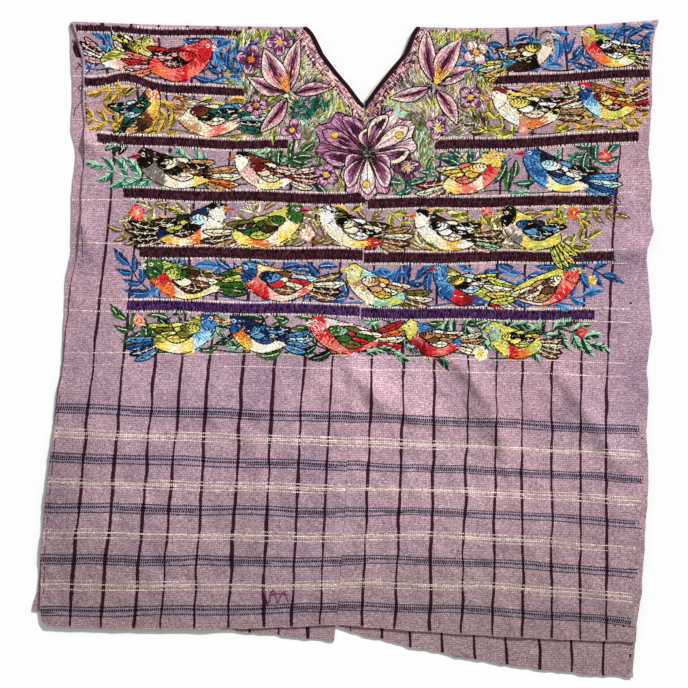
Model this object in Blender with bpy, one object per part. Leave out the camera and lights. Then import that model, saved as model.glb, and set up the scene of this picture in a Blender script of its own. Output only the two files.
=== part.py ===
"""A huipil blouse laid flat, front up.

Two loom-width panels are each folded over the shoulder, so that the front half lies on the back half,
and join edge to edge down the middle. The V neck is cut through both halves, and a strip on each side
binds its edge from the front point, over the shoulder fold, to the back point.
Left and right are as seen from the front. +X is right, +Y is towards the shoulders, +Z is up off the
surface that the blouse lies on. Tables and sizes are in millimetres and become metres in the meshes.
"""
import math
from collections import namedtuple

import bmesh
import bpy

MM = 0.001

# Driving sizes, in millimetres.
CLOTH_WALL = 1.2
BINDING_WALL = 1.8
LAYER_GAP = 0.9         # what the thread floats between the front and the back half take up
SEAM_GAP = 0.3          # between two pieces that are sewn edge to edge
FOLD_RADIUS = 1.6       # of the middle of the cloth, where it turns over the shoulder
FOLD_EASE = 32.0        # the front settles from the height of the fold within this distance
BINDING_REACH = 6.0     # width of the bound edge, measured level
BINDING_LIFT = (BINDING_WALL - CLOTH_WALL) / 2.0
POINT_CLEARANCE = 2.4   # the bindings stop this far above the point of the cut

# How finely the pieces are divided.
PANEL_COLUMNS = 19
BINDING_COLUMNS = 2
FRONT_ROW = 22.0        # greatest height of a row of faces, in millimetres
BACK_ROW = 34.0
FOLD_STEPS = 4

BACK_MIDDLE = CLOTH_WALL / 2.0
FRONT_MIDDLE = BACK_MIDDLE + CLOTH_WALL + LAYER_GAP
FOLD_TOP = BACK_MIDDLE + 2.0 * FOLD_RADIUS

# Outer edges of the blouse. The left front edge is drawn in from the back's, and the back shows past it.
Side = namedtuple("Side", "y back_left front_left right")
SIDES = (
    Side(415, -349, -347, 397.5),
    Side(392, -348, -339, 391),
    Side(366, -347, -332, 389),
    Side(316, -345, -332, 389),
    Side(280, -348, -330, 387),
    Side(250, -340, -329, 384),
    Side(214, -345, -333, 389),
    Side(181, -347, -334, 387),
    Side(148, -347, -335, 391),
    Side(125, -347, -338, 382),
    Side(93, -354, -345, 384),
    Side(24, -357, -353, 389),
    Side(-30, -360, -358, 382),
    Side(-55, -366, -363, 385),
    Side(-106, -370, -369, 382),
    Side(-167, -378, -377, 385),
    Side(-208, -382, -381, 382),
    Side(-258, -386, -385, 379),
    Side(-307, -390, -386, 376),
    Side(-333, -397.5, -386, 372),
    Side(-346, -393, -384.5, 370.5),
    Side(-351, -391, -378, 370),
    Side(-372, -388, -374, 368),
    Side(-417, -386, -372, 365),
)

# Cut edges of the V neck, from the shoulder fold down to the point.
Neck = namedtuple("Neck", "y left right back_right")
NECK = (
    Neck(410, -61, 100, 100),
    Neck(404, -51, 94, 94),
    Neck(398, -46, 90.5, 90.5),
    Neck(390, -41.5, 87.5, 87.5),
    Neck(372, -33, 80, 80),
    Neck(351, -17, 62, 60),
    Neck(331, 0, 46, 43),
    Neck(311, 15, 31.5, 29.5),
    Neck(303, 24.2, 26.2, 25.9),
)
NECK_POINT = NECK[-1].y

# The line where the two panels meet. At the hem the back's panels aren't joined, and slit is how far
# each one then stands back from the line.
Seam = namedtuple("Seam", "y x slit")
SEAM = (
    Seam(410, 25, 0),
    Seam(303, 25, 0),
    Seam(189, 28, 0),
    Seam(120, 24, 0),
    Seam(51, 19, 0),
    Seam(-27, 15, 0),
    Seam(-87, 5, 0),
    Seam(-208, 0, 0),
    Seam(-290, -6, 0),
    Seam(-330, -9, 1.5),
    Seam(-417, -12, 5),
)

EdgePoint = namedtuple("EdgePoint", "y x")

# Lines that run with the weft, from side to side, through the middle of each panel and the seam.
Weft = namedtuple("Weft", "name left left_mid left_seam right_seam right_mid right")
SHOULDER_FOLD = Weft("shoulder fold", 415, 410, 408, 408, 408, 417.2)
BODY_LINES = (
    Weft("yoke", 377, 373, 371, 371, 375, 383),
    Weft("second band", 336, 341, 328, 328, 336, 349),
    Weft("neck point", 303, 298, 303, 303, 300, 310),
    Weft("third band", 267, 254, 260, 260, 260, 271),
    Weft("fourth band", 198, 192, 187, 187, 186, 190),
    Weft("fifth band", 125, 121, 116, 116, 116, 116),
    Weft("sixth band", 57, 51, 47, 47, 44, 41),
    Weft("open pair", -13, -15, -16, -16, -22, -27),
    Weft("first check", -76, -82, -88, -88, -95, -106),
    Weft("second check", -138, -143, -149, -149, -156, -167),
    Weft("third check", -201, -204, -207, -207, -210, -223),
    Weft("fourth check", -267, -269, -270, -270, -272, -287),
    Weft("fifth check", -330, -331, -328, -328, -333, -348),
)
FRONT_HEM = Weft("front hem", -352, -356, -350, -350, -364, -372)
BACK_HEM = Weft("back hem", -333, -352, -371.5, -355, -397, -417.2)

# The main creases of the front half: soft ridges that stand up from the flat cloth.
Crease = namedtuple("Crease", "name x y angle length width height")
CREASES = (
    Crease("slant below the birds", 169, -78, -64, 130, 24, 6.5),
    Crease("second slant", 301, -94, -52, 80, 24, 3.5),
    Crease("pucker at the seam", 29, -42, -88, 60, 16, 3.0),
    Crease("left armhole end", -322, 258, -30, 44, 22, 3.0),
    Crease("left side tuck", -326, 148, -70, 60, 20, 2.5),
    Crease("right side tuck", 366, 126, 8, 70, 24, 3.5),
    Crease("right yoke swell", 318, 300, 82, 150, 46, 2.5),
    Crease("left lower swell", -215, -180, 78, 210, 60, 2.0),
    Crease("right lower swell", 236, -250, 96, 190, 54, 2.0),
)


def along(rows, y, column):
    """The value of a table's column at height y, straight between its rows, which run downwards."""
    for upper, lower in zip(rows, rows[1:]):
        if y >= lower.y or lower is rows[-1]:
            share = (upper.y - y) / (upper.y - lower.y)
            share = min(max(share, 0.0), 1.0)
            return getattr(upper, column) + share * (getattr(lower, column) - getattr(upper, column))


def through(first, middle, last, share):
    """A shallow curve through three heights, at 0, 0.5 and 1."""
    bow = middle - (first + last) / 2.0
    return first + share * (last - first) + 4.0 * bow * share * (1.0 - share)


def line_height(line, panel, share):
    """The height of a weft line on one panel, where share runs from the panel's left to its right."""
    if panel == "left":
        return through(line.left, line.left_mid, line.left_seam, share)
    return through(line.right_seam, line.right_mid, line.right, share)


def inner_edge(panel, layer, y):
    """The panel's edge at the middle of the blouse: the neck's cut above its point, and the seam below."""
    if y > NECK_POINT:
        if panel == "left":
            return along(NECK, y, "left")
        return along(NECK, y, "right" if layer == "front" else "back_right")
    back_off = SEAM_GAP / 2.0 + (along(SEAM, y, "slit") if layer == "back" else 0.0)
    return along(SEAM, y, "x") + (-back_off if panel == "left" else back_off)


def panel_x(panel, layer, share, y):
    """Where a column of the panel lies at height y."""
    inner = inner_edge(panel, layer, y)
    if panel == "left":
        outer = along(SIDES, y, "front_left" if layer == "front" else "back_left")
        return outer + share * (inner - outer)
    return inner + share * (along(SIDES, y, "right") - inner)


def crease_height(x, y):
    """How far the creases lift the front half at a place."""
    total = 0.0
    for crease in CREASES:
        angle = math.radians(crease.angle)
        dx = x - crease.x
        dy = y - crease.y
        lengthwise = dx * math.cos(angle) + dy * math.sin(angle)
        across = dy * math.cos(angle) - dx * math.sin(angle)
        reach = (lengthwise / (crease.length / 2.0)) ** 2 + (across / crease.width) ** 2
        total += crease.height * math.exp(-1.5 * reach)
    return total


def front_height(x, y, fold_y):
    """The middle of the front half's wall above the ground."""
    settled = min(max((fold_y - y) / FOLD_EASE, 0.0), 1.0)
    settled = settled * settled * (3.0 - 2.0 * settled)
    return FOLD_TOP + settled * (FRONT_MIDDLE - FOLD_TOP) + crease_height(x, y)


def line_rows(lines, greatest):
    """(upper line, lower line, share) for each row between successive lines, each row no higher than greatest."""
    rows = []
    for upper, lower in zip(lines, lines[1:]):
        steps = max(1, math.ceil((upper.left_mid - lower.left_mid) / greatest))
        rows += [(upper, lower, step / steps) for step in range(steps)]
    rows.append((lines[-2], lines[-1], 1.0))
    return rows


def fold_turn(fold_y, middle_low):
    """(y, z) of each step of the turn over the shoulder, from the back half to the front half."""
    centre_y = fold_y - FOLD_RADIUS - CLOTH_WALL / 2.0
    angles = [math.pi * step / FOLD_STEPS - math.pi / 2.0 for step in range(1, FOLD_STEPS)]
    return [
        (centre_y + FOLD_RADIUS * math.cos(angle), middle_low + FOLD_RADIUS * (1.0 + math.sin(angle)))
        for angle in angles
    ]


def half_column(panel, layer, share):
    """Points down one column of a panel's front or back half, from the shoulder fold to the hem."""
    fold_y = line_height(SHOULDER_FOLD, panel, share)
    top_y = fold_y - FOLD_RADIUS - CLOTH_WALL / 2.0
    hem, greatest = (FRONT_HEM, FRONT_ROW) if layer == "front" else (BACK_HEM, BACK_ROW)
    points = []
    for upper, lower, part in line_rows((SHOULDER_FOLD, *BODY_LINES, hem), greatest):
        upper_y = top_y if upper is SHOULDER_FOLD else line_height(upper, panel, share)
        y = upper_y + part * (line_height(lower, panel, share) - upper_y)
        x = panel_x(panel, layer, share, y)
        z = front_height(x, y, top_y) if layer == "front" else BACK_MIDDLE
        points.append((x, y, z))
    return points


def panel_column(panel, share):
    """Points down one column of a panel, from the back hem over the shoulder fold to the front hem."""
    back = half_column(panel, "back", share)
    front = half_column(panel, "front", share)
    fold_y = line_height(SHOULDER_FOLD, panel, share)
    turn = [(back[0][0], y, z) for y, z in fold_turn(fold_y, BACK_MIDDLE)]
    return back[::-1] + turn + front


def cut_edge(side, layer):
    """The panel's cut edge beside the open neck, from the shoulder fold down to the neck's point."""
    column = half_column(side, layer, 1.0 if side == "left" else 0.0)
    return [EdgePoint(y, x) for x, y, z in column if y >= NECK_POINT]


def binding_half(side, layer, share, top_y):
    """Points down one column of a binding's front or back half; it fills the V to the middle at its point."""
    edge = cut_edge(side, layer)
    inward = 1.0 if side == "left" else -1.0
    points = []
    for y in [place.y for place in edge[:-1]] + [edge[-1].y + POINT_CLEARANCE]:
        start = along(edge, y, "x") + inward * SEAM_GAP
        room = inward * (along(SEAM, y, "x") - start) - SEAM_GAP / 2.0
        x = start + inward * share * min(BINDING_REACH, room)
        z = front_height(x, y, top_y) if layer == "front" else BACK_MIDDLE
        points.append((x, y, z + BINDING_LIFT))
    return points


def binding_column(side, share):
    """Points down one column of a binding, from the back point over the shoulder fold to the front one."""
    fold_y = SHOULDER_FOLD.left_seam if side == "left" else SHOULDER_FOLD.right_seam
    top_y = fold_y - FOLD_RADIUS - CLOTH_WALL / 2.0
    back = binding_half(side, "back", share, top_y)
    front = binding_half(side, "front", share, top_y)
    turn = [(back[0][0], y, z) for y, z in fold_turn(fold_y, BACK_MIDDLE + BINDING_LIFT)]
    return back[::-1] + turn + front


def fabric(name, colour, roughness):
    """A plain cloth material."""
    material = bpy.data.materials.new(name)
    material.use_nodes = True
    shader = material.node_tree.nodes["Principled BSDF"]
    shader.inputs["Base Color"].default_value = (*colour, 1.0)
    shader.inputs["Roughness"].default_value = roughness
    shader.inputs["Metallic"].default_value = 0.0
    return material


def cloth_piece(name, columns, wall, material):
    """A sheet through the columns' points, in millimetres, thickened evenly to both sides."""
    mesh = bpy.data.meshes.new(name)
    shape = bmesh.new()
    grid = [[shape.verts.new([value * MM for value in point]) for point in column] for column in columns]
    for near, far in zip(grid, grid[1:]):
        for row in range(len(near) - 1):
            shape.faces.new((near[row], near[row + 1], far[row + 1], far[row]))
    bmesh.ops.recalc_face_normals(shape, faces=shape.faces)
    shape.to_mesh(mesh)
    shape.free()
    mesh.materials.append(material)
    piece = bpy.data.objects.new(name, mesh)
    bpy.context.collection.objects.link(piece)
    thicken = piece.modifiers.new("wall", "SOLIDIFY")
    thicken.thickness = wall * MM
    thicken.offset = 0.0
    thicken.use_even_offset = True
    thicken.use_rim = True
    return piece


def build():
    for old in list(bpy.data.objects):
        bpy.data.objects.remove(old)
    cotton = fabric("mauve_cotton", (0.42, 0.28, 0.34), 0.9)
    plum = fabric("plum_binding", (0.035, 0.012, 0.022), 0.8)
    for side in ("left", "right"):
        columns = [panel_column(side, step / PANEL_COLUMNS) for step in range(PANEL_COLUMNS + 1)]
        cloth_piece(f"{side}_panel", columns, CLOTH_WALL, cotton)
        edges = [binding_column(side, step / BINDING_COLUMNS) for step in range(BINDING_COLUMNS + 1)]
        cloth_piece(f"neck_binding_{side}", edges, BINDING_WALL, plum)


build()
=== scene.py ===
"""The looks of a huipil blouse laid flat: woven cloth, thread work, neck binding, floor, light and camera.

Everything is worked out in millimetres in the CAD's own frame (+X right, +Y to the shoulders, +Z up)
and becomes metres in the meshes. Left and right are as seen from the front.
"""
import math
from collections import namedtuple
from functools import reduce

import bpy
import numpy as np
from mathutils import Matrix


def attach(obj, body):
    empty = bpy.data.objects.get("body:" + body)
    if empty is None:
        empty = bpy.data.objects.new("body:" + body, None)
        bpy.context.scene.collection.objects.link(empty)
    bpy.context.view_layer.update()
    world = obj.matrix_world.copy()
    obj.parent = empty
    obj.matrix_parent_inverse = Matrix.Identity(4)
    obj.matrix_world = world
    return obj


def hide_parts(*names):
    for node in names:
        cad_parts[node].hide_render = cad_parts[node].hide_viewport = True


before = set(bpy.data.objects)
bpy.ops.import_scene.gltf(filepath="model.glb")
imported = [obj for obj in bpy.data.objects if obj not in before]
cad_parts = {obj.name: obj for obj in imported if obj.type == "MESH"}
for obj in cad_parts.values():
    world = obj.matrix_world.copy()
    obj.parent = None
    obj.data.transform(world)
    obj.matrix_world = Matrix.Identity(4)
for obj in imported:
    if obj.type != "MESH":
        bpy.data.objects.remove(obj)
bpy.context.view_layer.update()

MM = 0.001


def table(fields, *rows):
    """Rows whose values go by the names in fields."""
    kind = namedtuple("Row", fields)
    return tuple(kind(*row) for row in rows)


def heading(angle):
    """The way an angle in degrees points: x and y, one long together."""
    spin = math.radians(angle)
    return np.array([math.cos(spin), math.sin(spin)])


def left_of(way):
    return np.array([-way[1], way[0]])


# ---------------------------------------------------------------- the cloth's form, as in the CAD
CLOTH_WALL = 1.2
LAYER_GAP = 0.9
SEAM_GAP = 0.3
FOLD_RADIUS = 1.6
FOLD_EASE = 32.0
BINDING_REACH = 6.0
BINDING_LIFT = 0.3
BINDING_END = 2.6       # how far above the neck's point the bindings end
BINDING_RISE = 0.95
BINDING_RING = 8
BINDING_STATIONS = 34
BACK_MIDDLE = CLOTH_WALL / 2.0
FRONT_MIDDLE = BACK_MIDDLE + CLOTH_WALL + LAYER_GAP
FOLD_TOP = BACK_MIDDLE + 2.0 * FOLD_RADIUS
FOLD_INSET = FOLD_RADIUS + CLOTH_WALL / 2.0

SIDES = table(
    "y back_left front_left right",
    (415, -349, -347, 397.5), (392, -348, -339, 391), (366, -347, -332, 389), (316, -345, -332, 389),
    (280, -348, -330, 387), (250, -340, -329, 384), (214, -345, -333, 389), (181, -347, -334, 387),
    (148, -347, -335, 391), (125, -347, -338, 382), (93, -354, -345, 384), (24, -357, -353, 389),
    (-30, -360, -358, 382), (-55, -366, -363, 385), (-106, -370, -369, 382), (-167, -378, -377, 385),
    (-208, -382, -381, 382), (-258, -386, -385, 379), (-307, -390, -386, 376), (-333, -397.5, -386, 372),
    (-346, -393, -384.5, 370.5), (-351, -391, -378, 370), (-372, -388, -374, 368), (-417, -386, -372, 365),
)

NECK = table(
    "y left right back_right",
    (410, -61, 100, 100), (404, -51, 94, 94), (398, -46, 90.5, 90.5), (390, -41.5, 87.5, 87.5),
    (372, -33, 80, 80), (351, -17, 62, 60), (331, 0, 46, 43), (311, 15, 31.5, 29.5),
    (303, 24.2, 26.2, 25.9),
)
NECK_POINT = NECK[-1].y

SEAM = table(
    "y x slit",
    (410, 25, 0), (303, 25, 0), (189, 28, 0), (120, 24, 0), (51, 19, 0), (-27, 15, 0), (-87, 5, 0),
    (-208, 0, 0), (-290, -6, 0), (-330, -9, 1.5), (-417, -12, 5),
)

# Lines along the weft. pick counts them: whole numbers are the satin bands, then the blue checks.
WEFT_PLACES = "pick left left_mid left_seam right_seam right_mid right"
BODY_LINES = table(
    WEFT_PLACES,
    (-7, 407, 400, 401, 398, 398, 403),       # first band
    (-6, 337, 326, 324, 331, 340.5, 349),     # second band
    (-5.5, 303, 298, 303, 303, 300, 310),     # neck point
    (-5, 268.5, 259, 261, 257, 260, 271),     # third band
    (-4, 198, 193, 189, 184, 186, 190),       # fourth band
    (-3, 125, 121, 118, 114, 116, 116),       # fifth band
    (-2, 57, 52, 48, 45, 43, 41),             # sixth band
    (-1, -13, -15, -16, -18, -22, -27),       # open pair
    (0, -76, -82, -88, -88, -95, -106),       # first check
    (1, -138, -143, -149, -149, -156, -167),  # second check
    (2, -201, -204, -208, -206, -210, -223),  # third check
    (3, -267, -269, -271, -268, -272, -287),  # fourth check
    (4, -333, -332, -328, -327, -333, -348),  # fifth check
)
FOLD, FRONT_HEM, BACK_HEM = table(
    WEFT_PLACES,
    (-7.25, 415, 410, 408, 408, 408, 417.2),
    (4.3, -352, -356, -350, -350, -364, -372),
    (5, -333, -352, -371.5, -355, -397, -417.2),
)

WEFT_SWAY = 0.8
# The second band's line rises beside its shallow curve: share and width are shares of the left panel.
WEFT_BEND = table("pick panel share width rise", (-6, "left", 0.175, 0.085, 12.0))[0]

CREASES = table(
    "x y angle length width height",
    (169, -78, -64, 130, 24, 6.5),   # slant below the birds
    (301, -94, -52, 80, 24, 3.5),    # second slant
    (29, -42, -88, 60, 16, 3.0),     # pucker at the seam
    (-322, 258, -30, 44, 22, 3.0),   # left armhole end
    (-326, 148, -70, 60, 20, 2.5),   # left side tuck
    (366, 126, 8, 70, 24, 3.5),      # right side tuck
    (318, 300, 82, 150, 46, 2.5),    # right yoke swell
    (-215, -180, 78, 210, 60, 2.0),  # left lower swell
    (236, -250, 96, 190, 54, 2.0),   # right lower swell
)

# Only the visual cloth has these: narrow bent folds beside the main creases, ripples all over that bend
# by a share of their wavelength, and a flutter along the loose edges. A fold falls gently to the left of
# its way from start to end, and steeply to the right.
BENDS = table(
    "start bend end gentle steep height",
    ((106, 4), (176, -58), (204, -152), 18, 9, 8.0),         # slant below the birds
    ((256, -20), (306, -80), (344, -148), 16, 9, 6.4),       # second slant
    ((0, -8), (50, -70), (132, -94), 18, 10, 6.0),           # swoosh from the seam
    ((34, -12), (36, -44), (33, -84), 6, 5, 2.2),            # pucker right of the seam
    ((10, -84), (8, -44), (12, -12), 6, 5, 2.0),             # pucker left of the seam
    ((-346, 276), (-326, 262), (-304, 246), 10, 7, 4.0),     # left tuck below the armhole
    ((-340, 172), (-328, 146), (-322, 120), 9, 7, 3.4),      # left side tuck
    ((340, 118), (364, 124), (384, 134), 10, 8, 4.0),        # right side tuck
    ((-300, -228), (-262, -204), (-230, -196), 10, 9, 2.4),  # low tuck, left
    ((-36, -300), (-28, -326), (-26, -350), 9, 8, 2.4),      # hem tuck
    ((196, -318), (208, -340), (214, -362), 9, 8, 2.2),      # hem tuck, right
)
BEND_STEPS = 10
BEND_REACH = 34.0
RIPPLES = table(
    "angle wavelength height phase bend",
    (12, 152, 1.0, 0.3, 0.30), (101, 96, 1.0, 1.2, 0.25), (-38, 61, 1.2, 2.0, 0.30),
    (24, 43, 1.0, 0.7, 0.35), (2, 31, 0.8, 4.1, 0.30), (-60, 23, 0.6, 2.6, 0.40), (40, 17, 0.4, 1.6, 0.45),
)
SEWN_ABOVE = -25.0      # the embroidered upper part is stiffer, and ripples less
SEWN_RIPPLE = 0.35
SEWN_EASE = 30.0
EDGE_EASE = 46.0        # ripples and folds die down towards the loose edges
EDGE_RIPPLE = 0.25
FLUTTER_REACH = 24.0
FLUTTER_WAVE = 64.0
SIDE_FLUTTER = 1.8
HEM_FLUTTER = 0.6
BACK_WAVE = 71.0        # a low wave of the back, along its hem
BACK_WAVE_HEIGHT = 0.9
BACK_WAVE_TOP = -335.0
BACK_WAVE_EASE = 60.0


def along(rows, y, column):
    """The value of a table's column at heights y, straight between rows that run downwards."""
    heights = [row.y for row in reversed(rows)]
    values = [getattr(row, column) for row in reversed(rows)]
    return np.interp(y, heights, values)


def through(first, middle, last, share):
    """A shallow curve through three heights, at 0, 0.5 and 1."""
    bow = middle - (first + last) / 2.0
    return first + share * (last - first) + 4.0 * bow * share * (1.0 - share)


def line_height(line, panel, share):
    if panel == "left":
        height = through(line.left, line.left_mid, line.left_seam, share)
    else:
        height = through(line.right_seam, line.right_mid, line.right, share)
    if line in BODY_LINES:
        height = height + WEFT_SWAY * np.sin(15.0 * share + 1.9 * line.pick)
    if (line.pick, panel) == (WEFT_BEND.pick, WEFT_BEND.panel):
        height = height + WEFT_BEND.rise * np.exp(-((share - WEFT_BEND.share) / WEFT_BEND.width) ** 2)
    return height


def neck_column(panel, layer):
    """The column of NECK that says where the cut is in one half of a panel."""
    if panel == "left":
        return "left"
    return "right" if layer == "front" else "back_right"


def inner_edge(panel, layer, y):
    """The panel's edge at the middle of the blouse: the neck's cut above its point, and the seam below."""
    side = -1.0 if panel == "left" else 1.0
    back_off = SEAM_GAP / 2.0 + (along(SEAM, y, "slit") if layer == "back" else 0.0)
    seam = along(SEAM, y, "x") + side * back_off
    return np.where(np.asarray(y) > NECK_POINT, along(NECK, y, neck_column(panel, layer)), seam)


def outer_edge(panel, layer, y):
    if panel == "right":
        return along(SIDES, y, "right")
    return along(SIDES, y, "front_left" if layer == "front" else "back_left")


def panel_edges(panel, layer, y):
    """The x of the panel's left and right edge."""
    inner, outer = inner_edge(panel, layer, y), outer_edge(panel, layer, y)
    return (outer, inner) if panel == "left" else (inner, outer)


def share_at(panel, layer, x, y):
    """How far across its panel a place is, from the panel's left to its right."""
    low, high = panel_edges(panel, layer, y)
    return np.clip((x - low) / (high - low), 0.0, 1.0)


def weft_height(line, x):
    """The height of a weft line at x on the front."""
    x = np.asarray(x, float)
    result = np.zeros_like(x)
    for panel in ("left", "right"):
        middle = line_height(line, panel, 0.5)
        y = line_height(line, panel, share_at(panel, "front", x, middle))
        y = line_height(line, panel, share_at(panel, "front", x, y))
        on_left = x < along(SEAM, y, "x")
        result = np.where(on_left == (panel == "left"), y, result)
    return result


def crease_height(x, y):
    total = np.zeros_like(x)
    for crease in CREASES:
        cosine, sine = heading(crease.angle)
        dx, dy = x - crease.x, y - crease.y
        lengthwise, across = dx * cosine + dy * sine, dy * cosine - dx * sine
        reach = (lengthwise / (crease.length / 2.0)) ** 2 + (across / crease.width) ** 2
        total = total + crease.height * np.exp(-1.5 * reach)
    return total


def bend_height(x, y):
    """Each fold's height falls off with the distance from its line, unlike to its two sides."""
    total = np.zeros_like(x)
    share = np.linspace(0.0, 1.0, BEND_STEPS + 1)[:, None]
    for fold in BENDS:
        start, middle, end = (np.array(place, float) for place in (fold.start, fold.bend, fold.end))
        handle = 2.0 * middle - (start + end) / 2.0
        line = (1.0 - share) ** 2 * start + 2.0 * share * (1.0 - share) * handle + share ** 2 * end
        low, high = line.min(0) - BEND_REACH, line.max(0) + BEND_REACH
        near = (x > low[0]) & (x < high[0]) & (y > low[1]) & (y < high[1])
        if not near.any():
            continue
        px, py = x[near], y[near]
        nearest, fall = np.full(px.shape, 1e9), np.zeros(px.shape)
        for step, (here, onward) in enumerate(zip(line, line[1:])):
            way = onward - here
            gone = np.clip(((px - here[0]) * way[0] + (py - here[1]) * way[1]) / (way @ way), 0.0, 1.0)
            dx, dy = px - here[0] - gone * way[0], py - here[1] - gone * way[1]
            distance = dx * dx + dy * dy
            width = np.where(way[0] * dy - way[1] * dx > 0.0, fold.gentle, fold.steep)
            place = (step + gone) / BEND_STEPS
            taper = np.sin(math.pi * np.clip(0.08 + 0.84 * place, 0.0, 1.0)) ** 0.7
            height = taper * np.exp(-distance / width ** 2)
            closer = distance < nearest
            nearest, fall = np.where(closer, distance, nearest), np.where(closer, height, fall)
        total[near] += fold.height * fall
    return total


def ripple_height(x, y):
    total = np.zeros_like(x)
    for ripple in RIPPLES:
        cosine, sine = heading(ripple.angle)
        ahead = (x * cosine + y * sine) / ripple.wavelength
        aside = (y * cosine - x * sine) / ripple.wavelength
        place = ahead + ripple.bend * np.sin(2.1 * aside + 3.0 * ripple.phase)
        total = total + ripple.height * (1.0 + np.sin(2.0 * math.pi * place + ripple.phase)) / 2.0
    loose = np.clip((SEWN_ABOVE - y) / SEWN_EASE, 0.0, 1.0)
    return total * (SEWN_RIPPLE + (1.0 - SEWN_RIPPLE) * loose)


def edge_distances(x, y):
    """How far a place on the front is from its left, right and lower edge."""
    hem = y - weft_height(FRONT_HEM, x)
    return x - along(SIDES, y, "front_left"), along(SIDES, y, "right") - x, hem


def flutter_height(x, y):
    """Loose edges stand a little off what they lie on, in waves."""
    wave = 0.5 + 0.5 * np.sin(2.0 * math.pi * y / FLUTTER_WAVE + 1.0)
    hem_wave = 0.5 + 0.5 * np.sin(2.0 * math.pi * x / FLUTTER_WAVE)
    left, right, hem = (np.clip(1.0 - gap / FLUTTER_REACH, 0.0, 1.0) ** 2 for gap in edge_distances(x, y))
    return SIDE_FLUTTER * (left + right) * wave + HEM_FLUTTER * hem * hem_wave


def back_lift(x, y):
    """The back half lies flat, apart from a low wave along its hem."""
    from_hem = np.clip(1.0 - (y - BACK_WAVE_TOP + BACK_WAVE_EASE) / BACK_WAVE_EASE, 0.0, 1.0)
    return BACK_WAVE_HEIGHT * from_hem * (1.0 + np.sin(2.0 * math.pi * x / BACK_WAVE)) / 2.0


def front_height(x, y):
    """The middle of the front half's wall above the ground."""
    x, y = np.asarray(x, float), np.asarray(y, float)
    settled = np.clip((weft_height(FOLD, x) - FOLD_INSET - y) / FOLD_EASE, 0.0, 1.0)
    settled = settled * settled * (3.0 - 2.0 * settled)
    inward = np.clip(np.minimum.reduce(edge_distances(x, y)) / EDGE_EASE, 0.0, 1.0)
    inward = EDGE_RIPPLE + (1.0 - EDGE_RIPPLE) * inward
    fine = bend_height(x, y) + inward * ripple_height(x, y) + flutter_height(x, y)
    relief = crease_height(x, y) + settled * fine
    return FOLD_TOP + settled * (FRONT_MIDDLE - FOLD_TOP) + relief + back_lift(x, y)


def surface(x, y):
    """The face of the cloth that thread lies on: the front's, or the back's where that shows past it."""
    on_back = (x < along(SIDES, y, "front_left")) | (y < weft_height(FRONT_HEM, x))
    middle = np.where(on_back, BACK_MIDDLE + back_lift(x, y), front_height(x, y))
    return middle + CLOTH_WALL / 2.0


# ---------------------------------------------------------------- meshes from arrays
def new_object(name, points, faces, material):
    """A smooth mesh object from an array of points, in millimetres, and lists of faces of one size each."""
    mesh = bpy.data.meshes.new(name)
    loops = np.concatenate([np.asarray(block).ravel() for block in faces])
    sizes = np.concatenate([np.full(len(block), np.asarray(block).shape[1]) for block in faces])
    mesh.vertices.add(len(points))
    mesh.vertices.foreach_set("co", (np.asarray(points) * MM).ravel())
    mesh.loops.add(len(loops))
    mesh.loops.foreach_set("vertex_index", loops.astype(np.int32))
    mesh.polygons.add(len(sizes))
    mesh.polygons.foreach_set("loop_start", (np.cumsum(sizes) - sizes).astype(np.int32))
    mesh.polygons.foreach_set("use_smooth", np.full(len(sizes), True))
    mesh.update(calc_edges=True)
    mesh.validate()
    mesh.materials.append(material)
    piece = bpy.data.objects.new(name, mesh)
    bpy.context.collection.objects.link(piece)
    return piece


def float_attribute(piece, name, values):
    layer = piece.data.attributes.new(name, "FLOAT", "POINT")
    layer.data.foreach_set("value", np.asarray(values, np.float32).ravel())


def loop_points(piece):
    """The number of the point at each corner of each face."""
    numbers = np.zeros(len(piece.data.loops), np.int32)
    piece.data.loops.foreach_get("vertex_index", numbers)
    return numbers


def lay_map(piece, u, v):
    layer = piece.data.uv_layers.new(name="OFBake")
    layer.data.foreach_set("uv", np.stack([u, v], -1).astype(np.float32).ravel())


def cloth_shell(name, middle, wall, values, material):
    """A closed shell round a grid of middle points (rows, columns, 3); values become attributes."""
    rows, columns = middle.shape[:2]
    normal = np.cross(np.gradient(middle, axis=0), np.gradient(middle, axis=1))
    normal /= np.linalg.norm(normal, axis=2, keepdims=True)
    half = normal * (np.broadcast_to(wall, (rows, columns))[:, :, None] / 2.0)
    points = np.concatenate([(middle + half).reshape(-1, 3), (middle - half).reshape(-1, 3)])
    number = np.arange(rows * columns).reshape(rows, columns)
    corners = (number[:-1, :-1], number[1:, :-1], number[1:, 1:], number[:-1, 1:])
    outer = np.stack(corners, -1).reshape(-1, 4)
    inner = outer[:, ::-1] + rows * columns
    border = np.concatenate([number[0, ::-1], number[1:, 0], number[-1, 1:], number[-2:0:-1, -1]])
    onward = np.roll(border, -1)
    rim = np.stack([onward, border, border + rows * columns, onward + rows * columns], -1)
    piece = new_object(name, points, [outer, inner, rim], material)
    for key, grid in values.items():
        float_attribute(piece, key, np.concatenate([grid.ravel(), grid.ravel()]))
    bake_map(piece, rows, columns, len(outer), len(rim))
    piece.data.set_sharp_from_angle(angle=math.radians(SHARP_ANGLE))
    return piece


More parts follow.
